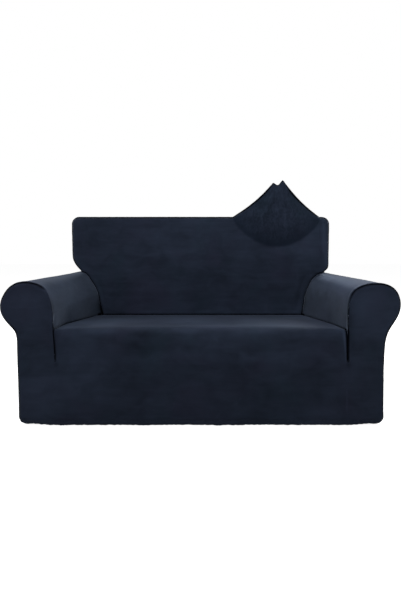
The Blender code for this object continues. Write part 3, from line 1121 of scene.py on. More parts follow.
@dataclass(frozen=True)
class Waves:
    """Slack in the stretched cloth: very low waves, and a dome in each scroll front."""

    height: float = 0.0016
    size: float = 0.17
    clear_of_seam: float = 0.05
    dome: float = 0.007
    dome_reach: float = 0.06
    dome_inner: float = 0.615
    dome_inner_fade: float = 0.02
    dome_foot: float = 0.36
    dome_foot_fade: float = 0.12
    front_depth: float = 0.012  # the scroll fronts lie in front of this

    def heights(self, skin: "FineSkin") -> np.ndarray:
        """How far the waves and domes lift the skin's points.

        Args:
            skin: the skin, with its seams measured.

        Returns:
            The lift, for each point.
        """
        places = skin.places
        clear = np.clip(skin.seam_distance / self.clear_of_seam, 0, 1)
        waves = np.array([noise.noise(Vector(place) / self.size) for place in places])
        on_scroll = np.clip((np.abs(places[:, 0]) - self.dome_inner) / self.dome_inner_fade, 0, 1)
        on_scroll *= np.clip((places[:, 2] - self.dome_foot) / self.dome_foot_fade, 0, 1)
        on_scroll *= places[:, 1] < self.front_depth
        dome = self.dome * (1 - np.exp(-((skin.seam_distance / self.dome_reach) ** 2)))
        return self.height * waves * clear + dome * on_scroll


@dataclass
class FineSkin:
    """The rounded skin as arrays, ready to be shaped and cut into panels."""

    mesh: bpy.types.Mesh
    places: np.ndarray = field(init=False)
    corners: np.ndarray = field(init=False)
    panel: np.ndarray = field(init=False)
    seam_distance: np.ndarray = field(init=False)
    seam_shows: np.ndarray = field(init=False)
    stretch: np.ndarray = field(init=False)
    # painted light and shade from the patches, for each point
    painted_light: np.ndarray = field(init=False)

    def __post_init__(self) -> None:
        """Reads the mesh into arrays."""
        mesh = self.mesh
        self.places = np.empty(len(mesh.vertices) * 3)
        mesh.vertices.foreach_get("co", self.places)
        self.places = self.places.reshape(-1, 3)
        corners = np.empty(len(mesh.loops), int)
        mesh.loops.foreach_get("vertex_index", corners)
        self.corners = corners.reshape(-1, 4)
        self.panel = np.empty(len(mesh.polygons), int)
        mesh.polygons.foreach_get("material_index", self.panel)
        self.stretch = np.zeros(len(self.places))
        self.painted_light = np.zeros(len(self.places))

    def normals(self) -> np.ndarray:
        """The skin's normals as it stands now.

        Returns:
            One for each point.
        """
        self.mesh.vertices.foreach_set("co", self.places.ravel())
        self.mesh.update()
        normals = np.empty(len(self.places) * 3)
        self.mesh.vertex_normals.foreach_get("vector", normals)
        return normals.reshape(-1, 3)

    def seam_edges(self) -> np.ndarray:
        """The edges between two panels.

        Returns:
            Pairs of points.
        """
        ends = np.roll(self.corners, -1, axis=1)
        pairs = np.sort(np.stack([self.corners, ends], axis=-1).reshape(-1, 2), axis=1)
        owner = np.repeat(self.panel, 4)
        order = np.lexsort((pairs[:, 1], pairs[:, 0]))
        pairs, owner = pairs[order], owner[order]
        same = (pairs[1:] == pairs[:-1]).all(axis=1) & (owner[1:] != owner[:-1])
        return pairs[1:][same]

    def measure_seams(self, step: float = 0.0015) -> None:
        """Notes each point's distance to the nearest seam.

        Args:
            step: how closely the seams are sampled.
        """
        edges = self.seam_edges()
        samples = []
        for start, end in self.places[edges]:
            count = max(1, round(np.linalg.norm(end - start) / step))
            samples.append(start + (end - start) * (np.arange(count) / count)[:, None])
        samples = np.vstack(samples)
        tree = KDTree(len(samples))
        for index, place in enumerate(samples):
            tree.insert(place, index)
        tree.balance()
        self.seam_distance = np.array([tree.find(place)[2] for place in self.places])
        self.seam_distance[np.unique(edges)] = 0.0

    def hide_seams(self, stretches: tuple) -> None:
        """Notes how much the seams' grooves and painted shade show: 1 is plainly.

        Args:
            stretches: where they show less or more.
        """
        self.seam_shows = np.ones(len(self.places))
        for stretch in stretches:
            mine = np.unique(np.concatenate([self.of_panel(panel) for panel in stretch.panels]))
            self.seam_shows[mine] -= stretch.shares(self.places[mine])

    def raise_by(self, heights: np.ndarray) -> None:
        """Moves each point along its normal."""
        self.places += self.normals() * heights[:, None]

    def of_panel(self, panel: Panel) -> np.ndarray:
        """The indices of one panel's points."""
        return np.unique(self.corners[self.panel == panel.number])

    def fold(self, folds: tuple, waves: Waves) -> None:
        """Gives the skin its folds and waves.

        Args:
            folds: the folds, each in one panel.
            waves: the waves all over.
        """
        heights = waves.heights(self)
        for fold in folds:
            mine = self.of_panel(fold.panel)
            heights[mine] += fold.heights(self.places[mine])
        self.raise_by(heights)

    def brush(self, patches: tuple) -> None:
        """Paints light and shade, and a little lighter and darker tone, into the pile's colour.

        Args:
            patches: the patches, each on one panel.
        """
        for patch in patches:
            mine = self.of_panel(patch.panel)
            self.painted_light[mine] += patch.strengths(self.places[mine])

    def cut(self, panel: Panel, sheet: float) -> bpy.types.Object:
        """One panel as a thin sheet.

        Args:
            panel: the panel.
            sheet: how thick its cloth is.

        Returns:
            The panel's object, with its place in its mesh.
        """
        mine = self.corners[self.panel == panel.number]
        used, corners = np.unique(mine, return_inverse=True)
        corners = corners.reshape(-1, 4)
        mesh = bpy.data.meshes.new(panel.value + "_cloth")
        mesh.from_pydata((self.places[used] - HELD_AT).tolist(), [], corners.tolist())
        # faces near a seam take the second finish, the painted seam shadow
        seam_look = self.seam_distance + (1 - self.seam_shows) * Seam.hidden_away
        near = seam_look[used[corners]].max(axis=1) < Seam.seam_shadow
        mesh.polygons.foreach_set("material_index", near.astype(int))
        attributes = {"seam": seam_look, "stretch": self.stretch, "painted_light": self.painted_light}
        for name, values in attributes.items():
            mesh.attributes.new(name, "FLOAT", "POINT").data.foreach_set("value", values[used])
        mesh.shade_smooth()
        cloth = placed(panel.value + "_cloth", mesh)
        thick = cloth.modifiers.new("thickness", "SOLIDIFY")
        thick.thickness = sheet
        thick.offset = -1
        return cloth


# Finishes -----------------------------------------------------------------------------------------
Socket = bpy.types.NodeSocket


class Nodes:
    """A node tree with short ways to add to it."""

    def __init__(self, tree: bpy.types.NodeTree) -> None:
        """Takes the tree that the nodes are added to."""
        self.tree = tree

    def feed(self, socket: Socket, value: object) -> None:
        """Gives an input what it reads.

        Args:
            socket: the input.
            value: an output to link it to, or its value.
        """
        if isinstance(value, Socket):
            self.tree.links.new(value, socket)
        else:
            socket.default_value = value

    def node(self, kind: str, **inputs: object) -> bpy.types.Node:
        """Adds a node.

        Args:
            kind: its type.
            inputs: what its inputs read, by their names with _ for a space.

        Returns:
            The node.
        """
        made = self.tree.nodes.new(kind)
        for key, value in inputs.items():
            self.feed(made.inputs[key.replace("_", " ")], value)
        return made


@dataclass(frozen=True)
class Clouds:
    """A pattern of soft clouds on the cloth."""

    scale: float
    stretch: tuple = (1.0, 1.0, 1.0)  # how often it repeats along x, y and z
    detail: float = 2.0
    distortion: float = 0.0
    span: tuple = ()  # from low, from high, to low, to high; without it the pattern stays as it is


class Finish(Nodes):
    """A new material and the nodes that it needs."""

    def __init__(self, name: str, roughness: float) -> None:
        """Starts the material with its plain shader.

        Args:
            name: the material's name.
            roughness: how matt it is.
        """
        self.material = bpy.data.materials.new(name)
        self.material.use_nodes = True
        super().__init__(self.material.node_tree)
        self.shader = self.tree.nodes["Principled BSDF"]
        self.give("Roughness", roughness)

    def give(self, key: str, value: object) -> None:
        """Sets or links one of the shader's inputs."""
        self.feed(self.shader.inputs[key], value)

    def place(self) -> Socket:
        """The place on the piece, in its own frame."""
        return self.node("ShaderNodeTexCoord").outputs["Object"]

    def attribute(self, name: str) -> Socket:
        """A number that the cloth's points carry.

        Args:
            name: the attribute's name.

        Returns:
            The number.
        """
        node = self.node("ShaderNodeAttribute")
        node.attribute_name = name
        return node.outputs["Fac"]

    def ranged(self, value: Socket, span: tuple) -> Socket:
        """A value taken from one range to another, and kept inside it.

        Args:
            value: the value.
            span: from low, from high, to low and to high.

        Returns:
            The new value.
        """
        keys = ("From_Min", "From_Max", "To_Min", "To_Max")
        node = self.node("ShaderNodeMapRange", Value=value, **dict(zip(keys, span)))
        return node.outputs["Result"]

    def clouds(self, pattern: Clouds) -> Socket:
        """The strength of a pattern.

        Args:
            pattern: the pattern.

        Returns:
            Its strength, in its span.
        """
        place = self.node("ShaderNodeMapping", Vector=self.place(), Scale=pattern.stretch)
        node = self.node("ShaderNodeTexNoise", Vector=place.outputs["Vector"], Scale=pattern.scale,
                         Detail=pattern.detail, Distortion=pattern.distortion)
        strength = node.outputs["Fac"]
        return self.ranged(strength, pattern.span) if pattern.span else strength

    def mixed(self, share: Socket, first: Socket | tuple, second: Socket | tuple) -> Socket:
        """Two colours mixed.

        Args:
            share: how much of the second there is.
            first: the first colour.
            second: the second colour.

        Returns:
            The mixed colour.
        """
        node = self.node("ShaderNodeMix")
        node.data_type = "RGBA"
        self.feed(node.inputs["Factor"], share)
        colours = [socket for socket in node.inputs if socket.type == "RGBA"]
        for socket, colour in zip(colours, (first, second)):
            self.feed(socket, colour)
        return [socket for socket in node.outputs if socket.type == "RGBA"][0]

    def combined(self, operation: str, *values: Socket) -> Socket:
        """Numbers added up or multiplied.

        Args:
            operation: ADD or MULTIPLY.
            values: the numbers.

        Returns:
            The result.
        """
        total = values[0]
        for value in values[1:]:
            node = self.node("ShaderNodeMath")
            node.operation = operation
            self.feed(node.inputs[0], total)
            self.feed(node.inputs[1], value)
            total = node.outputs["Value"]
        return total

    def bump(self, height: Socket, size: tuple, under: Socket | None = None) -> Socket:
        """The shading of low relief.

        Args:
            height: the relief.
            size: its strength and its height in metres.
            under: relief that lies under it.

        Returns:
            The normal.
        """
        strength, distance = size
        node = self.node("ShaderNodeBump", Height=height, Strength=strength, Distance=distance)
        if under is not None:
            self.feed(node.inputs["Normal"], under)
        return node.outputs["Normal"]


@dataclass(frozen=True)
class Velvet:
    """Stretch velvet: a dark dense pile with a soft sheen, random clouds, and light and shade painted
    into its colour.
    """

    name: str = "velvet"
    roughness: float = 0.86
    specular: float = 0.05
    sheen: float = 0.268
    sheen_roughness: float = 0.38
    sheen_tint: tuple = (0.60, 0.73, 0.98, 1.0)
    dark: tuple = (0.0040, 0.0060, 0.0110, 1.0)
    light: tuple = (0.0298, 0.0410, 0.0700, 1.0)
    green_cast: tuple = (0.0100, 0.0230, 0.0330, 1.0)
    violet_cast: tuple = (0.0190, 0.0185, 0.0370, 1.0)
    stretched: tuple = (0.0055, 0.0104, 0.0210, 1.0)
    # painted shade in and beside the seams
    seam_shade: tuple = (0.0020, 0.0030, 0.0060, 1.0)
    # what makes the pile lighter or darker: random clouds, the patches' painted light and shade, and
    # the painted light and shade of the peak's fine creases
    broad: Clouds = Clouds(2.6, (1.0, 1.0, 1.2), 3.0, 0.3, (0.3, 0.7, 0.28, 0.54))
    blotches: Clouds = Clouds(14.0, (0.7, 0.7, 1.1), 6.0, 0.7, (0.3, 0.7, -0.095, 0.095))
    streaks: Clouds = Clouds(30.0, (0.16, 0.16, 1.3), 5.0, 0.6, (0.3, 0.7, -0.045, 0.045))
    # painted light and shade of the fine creases where the cloth is pulled
    crinkles: Clouds = Clouds(58.0, (1.0, 0.6, 0.55), 5.0, 1.4, (0.36, 0.68, -0.10, 0.22))
    crinkled_at: tuple = (0.02, 0.15, 0.0, 1.0)  # from this much stretch on
    painted_light_span: tuple = (-1.2, 1.2, -0.6, 0.6)
    # where its colour has a cast, where it is pulled thin, and the painted shade in and beside the
    # seams
    hue: Clouds = Clouds(4.3, (1.0, 1.0, 1.0), 2.0, 0.6)
    green_at: tuple = (0.54, 0.75, 0.0, 0.32)
    violet_at: tuple = (0.25, 0.48, 0.35, 0.0)
    pulled_from: tuple = (0.0, 0.03, 0.0, 1.0)
    pulled_share: tuple = (0.04, 0.42, 0.56, 0.10)
    seam_shade_at: tuple = (0.003, 0.009, 0.8, 0.0)
    # the pile's relief, with its strength and height
    pile: Clouds = Clouds(420.0, (0.5, 0.25, 1.0), 1.0)
    pile_size: tuple = (0.2, 0.0006)
    nap: Clouds = Clouds(24.0, (0.5, 0.25, 1.0), 2.0, 0.6)
    nap_size: tuple = (0.25, 0.006)

    def lightness(self, finish: Finish) -> Socket:
        """How light the pile's colour is, with painted light and shade in it.

        Args:
            finish: the finish to add to.

        Returns:
            0 for the dark colour and 1 for the light one.
        """
        crinkled = finish.ranged(finish.attribute("stretch"), self.crinkled_at)
        return finish.combined(
            "ADD",
            finish.clouds(self.broad),
            finish.clouds(self.blotches),
            finish.clouds(self.streaks),
            finish.ranged(finish.attribute("painted_light"), self.painted_light_span),
            finish.combined("MULTIPLY", finish.clouds(self.crinkles), crinkled),
        )

    def build(self) -> bpy.types.Material:
        """Makes the material.

        Returns:
            The material.
        """
        finish = Finish(self.name, self.roughness)
        finish.give("Specular IOR Level", self.specular)
        finish.give("Sheen Weight", self.sheen)
        finish.give("Sheen Roughness", self.sheen_roughness)
        finish.give("Sheen Tint", self.sheen_tint)

        colour = finish.mixed(self.lightness(finish), self.dark, self.light)
        hue = finish.clouds(self.hue)
        colour = finish.mixed(finish.ranged(hue, self.green_at), colour, self.green_cast)
        colour = finish.mixed(finish.ranged(hue, self.violet_at), colour, self.violet_cast)
        stretch = finish.attribute("stretch")
        pulled = [finish.ranged(stretch, span) for span in (self.pulled_from, self.pulled_share)]
        colour = finish.mixed(finish.combined("MULTIPLY", *pulled), colour, self.stretched)
        # painted shade along the seams' grooves
        near_seam = finish.ranged(finish.attribute("seam"), self.seam_shade_at)
        finish.give("Base Color", finish.mixed(near_seam, colour, self.seam_shade))

        pile = finish.bump(finish.clouds(self.pile), self.pile_size)
        finish.give("Normal", finish.bump(finish.clouds(self.nap), self.nap_size, pile))
        return finish.material


@dataclass(frozen=True)
class SeamShadowVelvet:
    """Painted seam shadow: a nearly black finish without sheen for the faces in and beside a seam."""

    name: str = "velvet_seam_shade"
    roughness: float = 1.0
    specular: float = 0.02
    dark: tuple = (0.0011, 0.0014, 0.0025, 1.0)
    light: tuple = (0.0033, 0.0042, 0.0075, 1.0)
    blotches: Clouds = Clouds(30.0)

    def build(self) -> bpy.types.Material:
        """Makes the material.

        Returns:
            The material.
        """
        finish = Finish(self.name, self.roughness)
        finish.give("Specular IOR Level", self.specular)
        finish.give("Base Color", finish.mixed(finish.clouds(self.blotches), self.dark, self.light))
        return finish.material


@dataclass(frozen=True)
class Thread:
    """Sewing thread, a little glossier than the pile."""

    name: str = "thread"
    roughness: float = 0.55
    ply: float = 900.0  # how fine its twisted strands are
    dark: tuple = (0.0050, 0.0070, 0.0130, 1.0)
    light: tuple = (0.0140, 0.0190, 0.0320, 1.0)

    def build(self) -> bpy.types.Material:
        """Makes the material.

        Returns:
            The material.
        """
        finish = Finish(self.name, self.roughness)
        ply = finish.node("ShaderNodeTexWave", Vector=finish.place(), Scale=self.ply)
        ply.bands_direction = "DIAGONAL"
        finish.give("Base Color", finish.mixed(ply.outputs["Fac"], self.dark, self.light))
        return finish.material


@dataclass(frozen=True)
class Stitches:
    """A row of stitches along a line, made by Geometry Nodes."""

    name: str = "hem_stitches"
    pitch: float = 0.0045
    length: float = 0.0034
    thickness: float = 0.0010
    sizes: tuple = (0.85, 1.12)  # how much smaller or larger than that a stitch is
    seed: int = 7

    def tree(self, thread: bpy.types.Material) -> bpy.types.NodeTree:
        """The node tree that lays a stitch at each step along a line.

        Args:
            thread: the stitches' material.

        Returns:
            The tree, with Pitch, Length, Thickness and Seed as its inputs.
        """
        tree = bpy.data.node_groups.new("stitches", "GeometryNodeTree")
        tree.interface.new_socket("Geometry", in_out="INPUT", socket_type="NodeSocketGeometry")
        for key in ("Pitch", "Length", "Thickness"):
            tree.interface.new_socket(key, in_out="INPUT", socket_type="NodeSocketFloat")
        tree.interface.new_socket("Seed", in_out="INPUT", socket_type="NodeSocketInt")
        tree.interface.new_socket("Geometry", in_out="OUTPUT", socket_type="NodeSocketGeometry")

        nodes = Nodes(tree)
        given = nodes.node("NodeGroupInput").outputs
        curve = nodes.node("GeometryNodeMeshToCurve", Mesh=given["Geometry"])
        steps = nodes.node("GeometryNodeResampleCurve", Curve=curve.outputs["Curve"])
        steps.mode = "LENGTH"
        nodes.feed(steps.inputs["Length"], given["Pitch"])
        ball = nodes.node("GeometryNodeMeshIcoSphere", Radius=0.5, Subdivisions=1)
        size = nodes.node("ShaderNodeCombineXYZ", X=given["Length"], Y=given["Thickness"],
                          Z=given["Thickness"])
        stitch = nodes.node("GeometryNodeTransform", Geometry=ball.outputs["Mesh"],
                            Scale=size.outputs["Vector"])
        uneven = nodes.node("FunctionNodeRandomValue", Seed=given["Seed"])
        uneven.data_type = "FLOAT"
        limits = [socket for socket in uneven.inputs if socket.name in ("Min", "Max")]
        limits = [socket for socket in limits if socket.type == "VALUE"]
        for socket, value in zip(limits, self.sizes):
            nodes.feed(socket, value)
        factor = [socket for socket in uneven.outputs if socket.type == "VALUE"][0]
        tangent = nodes.node("GeometryNodeInputTangent").outputs["Tangent"]
        turn = nodes.node("FunctionNodeAlignRotationToVector", Vector=tangent)
        turn.axis = "X"
        laid = nodes.node("GeometryNodeInstanceOnPoints", Points=steps.outputs["Curve"],
                          Instance=stitch.outputs["Geometry"], Rotation=turn.outputs["Rotation"],
                          Scale=factor)
        real = nodes.node("GeometryNodeRealizeInstances", Geometry=laid.outputs["Instances"])
        dressed = nodes.node("GeometryNodeSetMaterial", Geometry=real.outputs["Geometry"],
                             Material=thread)
        nodes.node("NodeGroupOutput", Geometry=dressed.outputs["Geometry"])
        return tree

    def build(self, line: np.ndarray, thread: bpy.types.Material) -> bpy.types.Object:
        """Sews the stitches.

        Args:
            line: the closed line that they follow.
            thread: their material.

        Returns:
            Their object.
        """
        guide = bpy.data.meshes.new("stitch_line")
        edges = [(index, (index + 1) % len(line)) for index in range(len(line))]
        guide.from_pydata((line - HELD_AT).tolist(), edges, [])
        sewn = placed("stitch_line", guide)
        nodes = sewn.modifiers.new("stitches", "NODES")
        tree = self.tree(thread)
        nodes.node_group = tree
        values = {"Pitch": self.pitch, "Length": self.length, "Thickness": self.thickness,
                  "Seed": self.seed}
        for item in tree.interface.items_tree:
            if item.item_type == "SOCKET" and item.name in values:
                nodes[item.identifier] = values[item.name]
        return placed(self.name, finished(sewn))


# The folds, seams and patches ---------------------------------------------------------------------
FOLDS_BY_PANEL = {
    # each fold's line, width and height
    (Panel.INSIDE_BACK, View.FRONT): (
        # beside the arms, where the cloth is drawn into the corners
        (((0.628, 0.575), (0.596, 0.530), (0.575, 0.460), (0.556, 0.370)), 0.012, -0.0045),
        (((-0.600, 0.560), (-0.575, 0.470), (-0.545, 0.380)), 0.016, -0.0025),
        # along the back's right edge
        (((0.722, 0.880), (0.720, 0.760), (0.716, 0.640)), 0.006, -0.0040),
        # creases drawn up to the peak
        (((0.462, 1.050), (0.470, 0.930), (0.480, 0.870), (0.502, 0.830)), 0.010, 0.0045),
        (((0.430, 1.050), (0.395, 0.960), (0.362, 0.905), (0.345, 0.850)), 0.011, 0.0040),
        (((0.445, 1.045), (0.436, 0.960), (0.428, 0.880)), 0.009, -0.0035),
        (((0.478, 1.050), (0.525, 0.960), (0.570, 0.900)), 0.010, 0.0035),
        (((0.470, 1.030), (0.505, 0.930), (0.520, 0.870)), 0.009, -0.0030),
    ),
    (Panel.SEAT_FRONT, View.TOP): (
        # the seat's corners, where the cloth is tucked in, and its middle
        (((-0.600, 0.560), (-0.520, 0.500), (-0.400, 0.480)), 0.022, 0.0035),
        (((0.580, 0.560), (0.500, 0.510), (0.380, 0.480)), 0.022, 0.0030),
        (((-0.300, 0.180), (0.000, 0.150), (0.250, 0.190)), 0.040, -0.0020),
    ),
}
FOLDS = tuple(Fold(*where, *row) for where, rows in FOLDS_BY_PANEL.items() for row in rows)

FRONT_DEPTHS = (-0.100, 0.030)
CREASE_DEPTHS = (0.050, 0.580)  # beside the seat
CORNER_DEPTHS = (0.560, 0.640)  # at its rear corners
FACE_DEPTHS = (0.590, 0.700)
BACK_DEPTHS = (0.590, 0.900)
PEAK_DEPTHS = (0.500, 0.900)
SEAM_SHOWS_BY_PLACE = {
    # between these depths and on these cloths: each stretch's centre, size and hidden share
    (FRONT_DEPTHS, tuple(Panel)): (
        # where the arms' inner faces run into the scroll fronts
        ((0.608, 0.460), (0.050, 0.064), 0.55),
        ((-0.612, 0.495), (0.046, 0.078), 0.95),
    ),
    (FRONT_DEPTHS, (Panel.SEAT_FRONT,)): (
        # the short seam at the seat's left front corner, which is thinner
        ((-0.600, 0.340), (0.030, 0.095), 0.30),
        # painted shade widened down the outer sides of the scrolls and the stems
        ((0.790, 0.470), (0.060, 0.120), -0.12),
        ((0.755, 0.190), (0.060, 0.240), -0.18),
        ((-0.790, 0.470), (0.060, 0.120), -0.12),
        ((-0.750, 0.190), (0.060, 0.240), -0.18),
    ),
    (FRONT_DEPTHS, (Panel.LEFT_ARM, Panel.RIGHT_ARM)): (
        # painted shade widened on the arms' side of the short seams and of those edges
        ((-0.600, 0.330), (0.030, 0.085), -0.50),
        ((0.604, 0.330), (0.030, 0.085), -0.50),
        ((0.800, 0.330), (0.070, 0.290), -0.35),
        ((-0.800, 0.330), (0.070, 0.290), -0.35),
    ),
    # painted shade of the deep folds at the seat's rear corners
    (CORNER_DEPTHS, (Panel.LEFT_ARM,)): (((-0.568, 0.395), (0.034, 0.080), -1.10),),
    (CORNER_DEPTHS, (Panel.RIGHT_ARM,)): (((0.585, 0.390), (0.030, 0.070), -0.60),),
    (CREASE_DEPTHS, tuple(Panel)): (
        # the creases beside the seat are softer
        ((0.605, 0.370), (0.040, 0.060), 0.25),
        ((-0.610, 0.370), (0.050, 0.060), 0.25),
    ),
    (FACE_DEPTHS, tuple(Panel)): (
        # and so are those up the back's ends
        ((0.630, 0.480), (0.110, 0.140), 0.25),
        ((-0.630, 0.480), (0.110, 0.140), 0.25),
    ),
    # painted shade along the edges round the back and up the peak
    (BACK_DEPTHS, (Panel.OUTSIDE_BACK,)): (((0.000, 0.760), (0.860, 0.250), -0.50),),
    (BACK_DEPTHS, (Panel.INSIDE_BACK,)): (
        ((0.765, 0.800), (0.050, 0.110), -0.15),
        ((-0.765, 0.780), (0.050, 0.140), -0.15),
    ),
    (PEAK_DEPTHS, tuple(Panel)): (
        ((0.610, 1.000), (0.120, 0.140), -0.90),
        ((0.330, 1.010), (0.110, 0.120), -0.45),
    ),
}
SEAM_SHOWS = tuple(
    SeamShow(*row, *where) for where, rows in SEAM_SHOWS_BY_PLACE.items() for row in rows
)

# Patches of painted light and shade in the pile's colour, where light falls, highlights show or shade
# lies; the blotches on the front only vary its tone.
PATCHES_BY_PANEL = {
    # each patch's centre, size and strength, and then its turn, sharpness and raggedness
    (Panel.SEAT_FRONT, View.FRONT): (
        # painted light on the scroll fronts, painted shade on the right stem and along the right
        # scroll's inner edge, and the front lighter low on the left
        ((-0.715, 0.480), (0.110, 0.110), 0.50),
        ((0.715, 0.480), (0.110, 0.110), 0.70),
        ((0.680, 0.330), (0.080, 0.090), -0.16),
        ((0.613, 0.440), (0.012, 0.080), -0.40),
        ((-0.640, 0.130), (0.090, 0.110), 0.20),
        ((-0.470, 0.140), (0.120, 0.100), 0.26),
        # painted shade in the dimples where the short seams end, and a painted highlight beside the
        # right one
        ((0.604, 0.252), (0.012, 0.014), -0.55),
        ((-0.590, 0.254), (0.010, 0.011), -0.50),
        ((0.595, 0.330), (0.005, 0.055), 1.00),
        # painted shade along the front's top, and its blotches
        ((0.000, 0.334), (0.700, 0.044), -0.36, 0.0, 4.0),
        ((-0.450, 0.200), (0.120, 0.080), 0.10),
        ((0.350, 0.150), (0.160, 0.070), -0.10),
        ((0.050, 0.240), (0.140, 0.040), -0.10),
        ((-0.100, 0.090), (0.220, 0.040), 0.10),
        # painted highlights and shade along the seat's uneven light edge
        ((-0.420, 0.374), (0.070, 0.009), 0.45),
        ((-0.260, 0.368), (0.070, 0.011), -0.25),
        ((-0.070, 0.373), (0.080, 0.009), 0.42),
        ((0.100, 0.369), (0.060, 0.010), -0.22),
        ((0.250, 0.374), (0.080, 0.009), 0.36),
    ),
    (Panel.SEAT_FRONT, View.TOP): (
        # painted light from the left to the middle, painted shade on the right, and a painted
        # highlight down its side
        ((-0.120, 0.330), (0.420, 0.150), 0.26, 0.0, 4.0, 0.8),
        ((0.470, 0.260), (0.160, 0.180), -0.22),
        ((0.603, 0.150), (0.005, 0.110), 1.10, -2.0, 4.0),
        # painted highlights on the puckers at its left corner
        ((-0.580, 0.110), (0.034, 0.018), 0.80, -25.0),
        ((-0.540, 0.250), (0.060, 0.060), 0.34, -30.0),
        ((-0.430, 0.150), (0.090, 0.035), 0.30),
    ),
    (Panel.INSIDE_BACK, View.FRONT): (
        # painted light on its right edge and below the peak
        ((0.742, 0.770), (0.018, 0.150), 0.55, 0.0, 4.0),
        ((0.650, 0.745), (0.100, 0.140), 0.46),
        ((0.480, 0.700), (0.170, 0.034), 0.26),
        # the peak: painted highlights at its tip and along its creases, and painted shade low in the
        # pulled cloth
        ((0.450, 1.065), (0.030, 0.022), 0.60),
        ((0.495, 0.875), (0.008, 0.055), 0.60, 10.0),
        ((0.361, 0.888), (0.008, 0.036), 0.50, -4.0),
        ((0.430, 0.945), (0.090, 0.010), 0.30, 4.0),
        ((0.300, 0.830), (0.060, 0.018), 0.22),
        ((0.430, 0.820), (0.060, 0.040), -0.20),
    ),
    (Panel.RIGHT_ARM, View.SIDE): (
        # painted highlight in a band below its crown and painted light in its middle, painted shade
        # at the crown and both ends
        ((0.300, 0.550), (0.420, 0.050), 0.56, -4.5, 7.0, 0.6),
        ((0.300, 0.592), (0.420, 0.018), -0.48, -1.0),
        ((0.006, 0.445), (0.026, 0.085), -0.95, 0.0, 4.0),
        ((0.080, 0.445), (0.090, 0.060), -0.50),
        ((0.330, 0.430), (0.130, 0.050), 0.24),
        ((0.600, 0.410), (0.030, 0.070), -0.70),
    ),
    (Panel.LEFT_ARM, View.SIDE): (
        # painted light in the middle of its face, painted shade along its crown and at both ends
        ((0.006, 0.445), (0.026, 0.085), -0.85, 0.0, 4.0),
        ((0.080, 0.460), (0.090, 0.070), -0.36),
        ((0.320, 0.440), (0.220, 0.075), 1.00),
        ((0.300, 0.588), (0.420, 0.022), -0.34, -1.0),
        ((0.600, 0.410), (0.034, 0.080), -0.80),
    ),
}
PATCHES = tuple(Patch(*where, *row) for where, rows in PATCHES_BY_PANEL.items() for row in rows)


# The cover ----------------------------------------------------------------------------------------
@dataclass
class Cover:
    """The whole cover: builds its skin, shapes it and cuts its panels."""

    seat: Seat = field(default_factory=Seat)
    peak: Peak = field(default_factory=Peak)
    hem: Hem = field(default_factory=Hem)
    seam: Seam = field(default_factory=Seam)
    waves: Waves = field(default_factory=Waves)
    sheet: float = 0.0026
    levels: int = 2
    cuts: dict = field(default_factory=lambda: {
        # each panel's flat width and length, and its flat area
        Panel.SEAT_FRONT: (1.65, 1.20, 1.32),
        Panel.INSIDE_BACK: (1.56, 0.80, 0.88),
        Panel.OUTSIDE_BACK: (1.84, 1.20, 1.72),
        Panel.LEFT_ARM: (0.86, 0.95, 0.76),
        Panel.RIGHT_ARM: (0.86, 0.95, 0.75),
    })

    def build_skin(self) -> FineSkin:
        """Makes the skin and gives it its shape.

        Returns:
            The skin, ready to be cut.
        """
        arms = {side: Arm(side, self.seat) for side in Side}
        back = Back(self.seat, arms)
        skin = Skin()
        skin.grid(Panel.SEAT_FRONT, self.seat.rows(shares(back.top_line())))
        for arm in arms.values():
            arm.build_front(skin)
            arm.build(skin, back)
        back.build(skin)
        fine = FineSkin(skin.rounded(self.levels))
        fine.stretch = self.peak.pull(fine.places, back)
        self.hem.draw_in(fine.places)
        fine.measure_seams()
        fine.fold(FOLDS, self.waves)
        fine.brush(PATCHES)
        fine.hide_seams(SEAM_SHOWS)
        sewn = self.seam.profile(fine.seam_distance, fine.places)
        fine.raise_by(sewn * np.clip(fine.seam_shows, 0, 1))
        fine.raise_by(self.hem.heights(fine.places))
        return fine

    def build(self) -> None:
        """Makes the panels and the stitches, dresses them, hangs them on the body and hides the CAD
        parts they stand for.
        """
        skin = self.build_skin()
        # the second finish paints the shadow in the seams
        velvet, seam_shadow = Velvet().build(), SeamShadowVelvet().build()
        for panel in Panel:
            cloth = skin.cut(panel, self.sheet)
            cloth.data.materials.append(velvet)
            cloth.data.materials.append(seam_shadow)
            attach(cloth, BODY)
            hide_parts(panel.value)
            log.info("%s: %d quads", cloth.name, len(cloth.data.polygons))
        stitches = Stitches().build(self.hem.stitch_line(skin), Thread().build())
        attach(stitches, BODY)
        log.info("%s: %d faces", stitches.name, len(stitches.data.polygons))


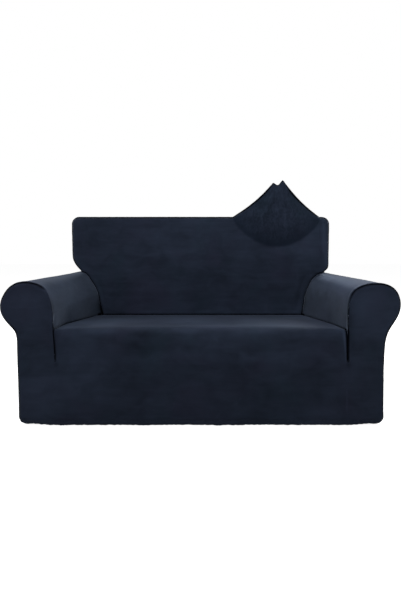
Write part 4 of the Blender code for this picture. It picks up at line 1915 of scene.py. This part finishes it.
# The studio ---------------------------------------------------------------------------------------
@dataclass(frozen=True)
class Studio:
    """A pale floor, soft lights and the camera."""

    focal_px: float = 367.3  # the lens in pixels of the photograph
    distance: float = 1.5  # from the camera to the front plane
    eye_height: float = 0.741
    centre_px: tuple = (200.5, 245.0)  # where the middle of the cover and the horizon lie
    sensor: float = 36.0
    aim: tuple = (0, -0.4, -0.5)  # the middle of the cover, in the row's frame
    ambient: float = 0.08
    floor_reach: float = 12.0
    floor_grey: tuple = (0.6, 0.6, 0.6)
    floor_glow: float = 0.93
    floor_gap: float = 0.0015  # how far it lies below the hem
    lights: tuple = (
        # name, place in the row's frame, width and height, watts
        ("front_high", (0.0, -2.6, 2.2), (2.5, 1.2), 40),
        ("top_front", (0.0, -1.4, 2.2), (3.0, 1.0), 53),
        ("left_side", (-2.8, -0.2, 0.2), (1.2, 1.6), 12),
        ("left_rear", (-2.2, 1.6, 1.2), (1.2, 1.2), 44),
        ("right_rear", (2.2, 1.6, 1.2), (1.2, 1.2), 106),
    )

    def camera(self) -> None:
        """Makes the camera, level and straight in front."""
        data = bpy.data.cameras.new("camera")
        data.sensor_fit = "HORIZONTAL"
        data.sensor_width = self.sensor
        data.lens = self.focal_px / PHOTO_WIDTH * self.sensor
        data.shift_y = -(PHOTO_HEIGHT / 2 - self.centre_px[1]) / PHOTO_WIDTH
        camera = placed("camera", data)
        camera.location = Vector((0, -self.distance, self.eye_height)) - Vector(HELD_AT)
        camera.rotation_euler = (math.pi / 2, 0, 0)
        bpy.context.scene.camera = camera

    def floor(self) -> None:
        """Makes the floor just under the hem: pale to the camera, and dim as a source of light."""
        z, reach = -HELD_AT[2] - self.floor_gap, self.floor_reach
        corners = [(-reach, -reach, z), (reach, -reach, z), (reach, reach, z), (-reach, reach, z)]
        mesh = bpy.data.meshes.new("floor")
        mesh.from_pydata(corners, [], [(0, 1, 2, 3)])
        finish = Finish("floor", 1.0)
        finish.give("Base Color", (*self.floor_grey, 1))
        finish.give("Emission Color", (1, 1, 1, 1))
        seen = finish.node("ShaderNodeLightPath").outputs["Is Camera Ray"]
        finish.give("Emission Strength", finish.ranged(seen, (0, 1, 0, self.floor_glow)))
        mesh.materials.append(finish.material)
        placed("floor", mesh)

    def light(self, name: str, place: tuple, size: tuple, watts: float) -> None:
        """Makes a soft rectangular light that faces the middle of the cover.

        Args:
            name: its name.
            place: where it stands, in the row's frame.
            size: its width and height.
            watts: its power.
        """
        data = bpy.data.lights.new(name, "AREA")
        data.shape = "RECTANGLE"
        data.size, data.size_y = size
        data.energy = watts
        lamp = placed(name, data)
        lamp.location = place
        facing = Vector(self.aim) - Vector(place)
        lamp.rotation_euler = facing.to_track_quat("-Z", "Y").to_euler()

    def world(self) -> None:
        """Makes a white surround that lights the cover softly."""
        world = bpy.data.worlds.new("studio")
        bpy.context.scene.world = world
        world.use_nodes = True
        nodes = Nodes(world.node_tree)
        surround = world.node_tree.nodes["Background"].inputs
        surround["Color"].default_value = (1, 1, 1, 1)
        seen = nodes.node("ShaderNodeLightPath").outputs["Is Camera Ray"]
        strength = nodes.node("ShaderNodeMapRange", Value=seen, To_Min=self.ambient, To_Max=1.0)
        nodes.feed(surround["Strength"], strength.outputs["Result"])

    def build(self) -> None:
        """Makes everything around the cover."""
        self.camera()
        self.floor()
        self.world()
        for name, place, size, watts in self.lights:
            self.light(name, place, size, watts)
        bpy.context.scene.view_settings.view_transform = "Standard"
        bpy.context.scene.render.film_transparent = False


def main() -> None:
    """Builds the studio and the cover, and logs how many quads and faces its pieces have."""
    logging.basicConfig(level=logging.INFO, format="%(message)s")
    Studio().build()
    Cover().build()


if __name__ == "__main__":
    main()
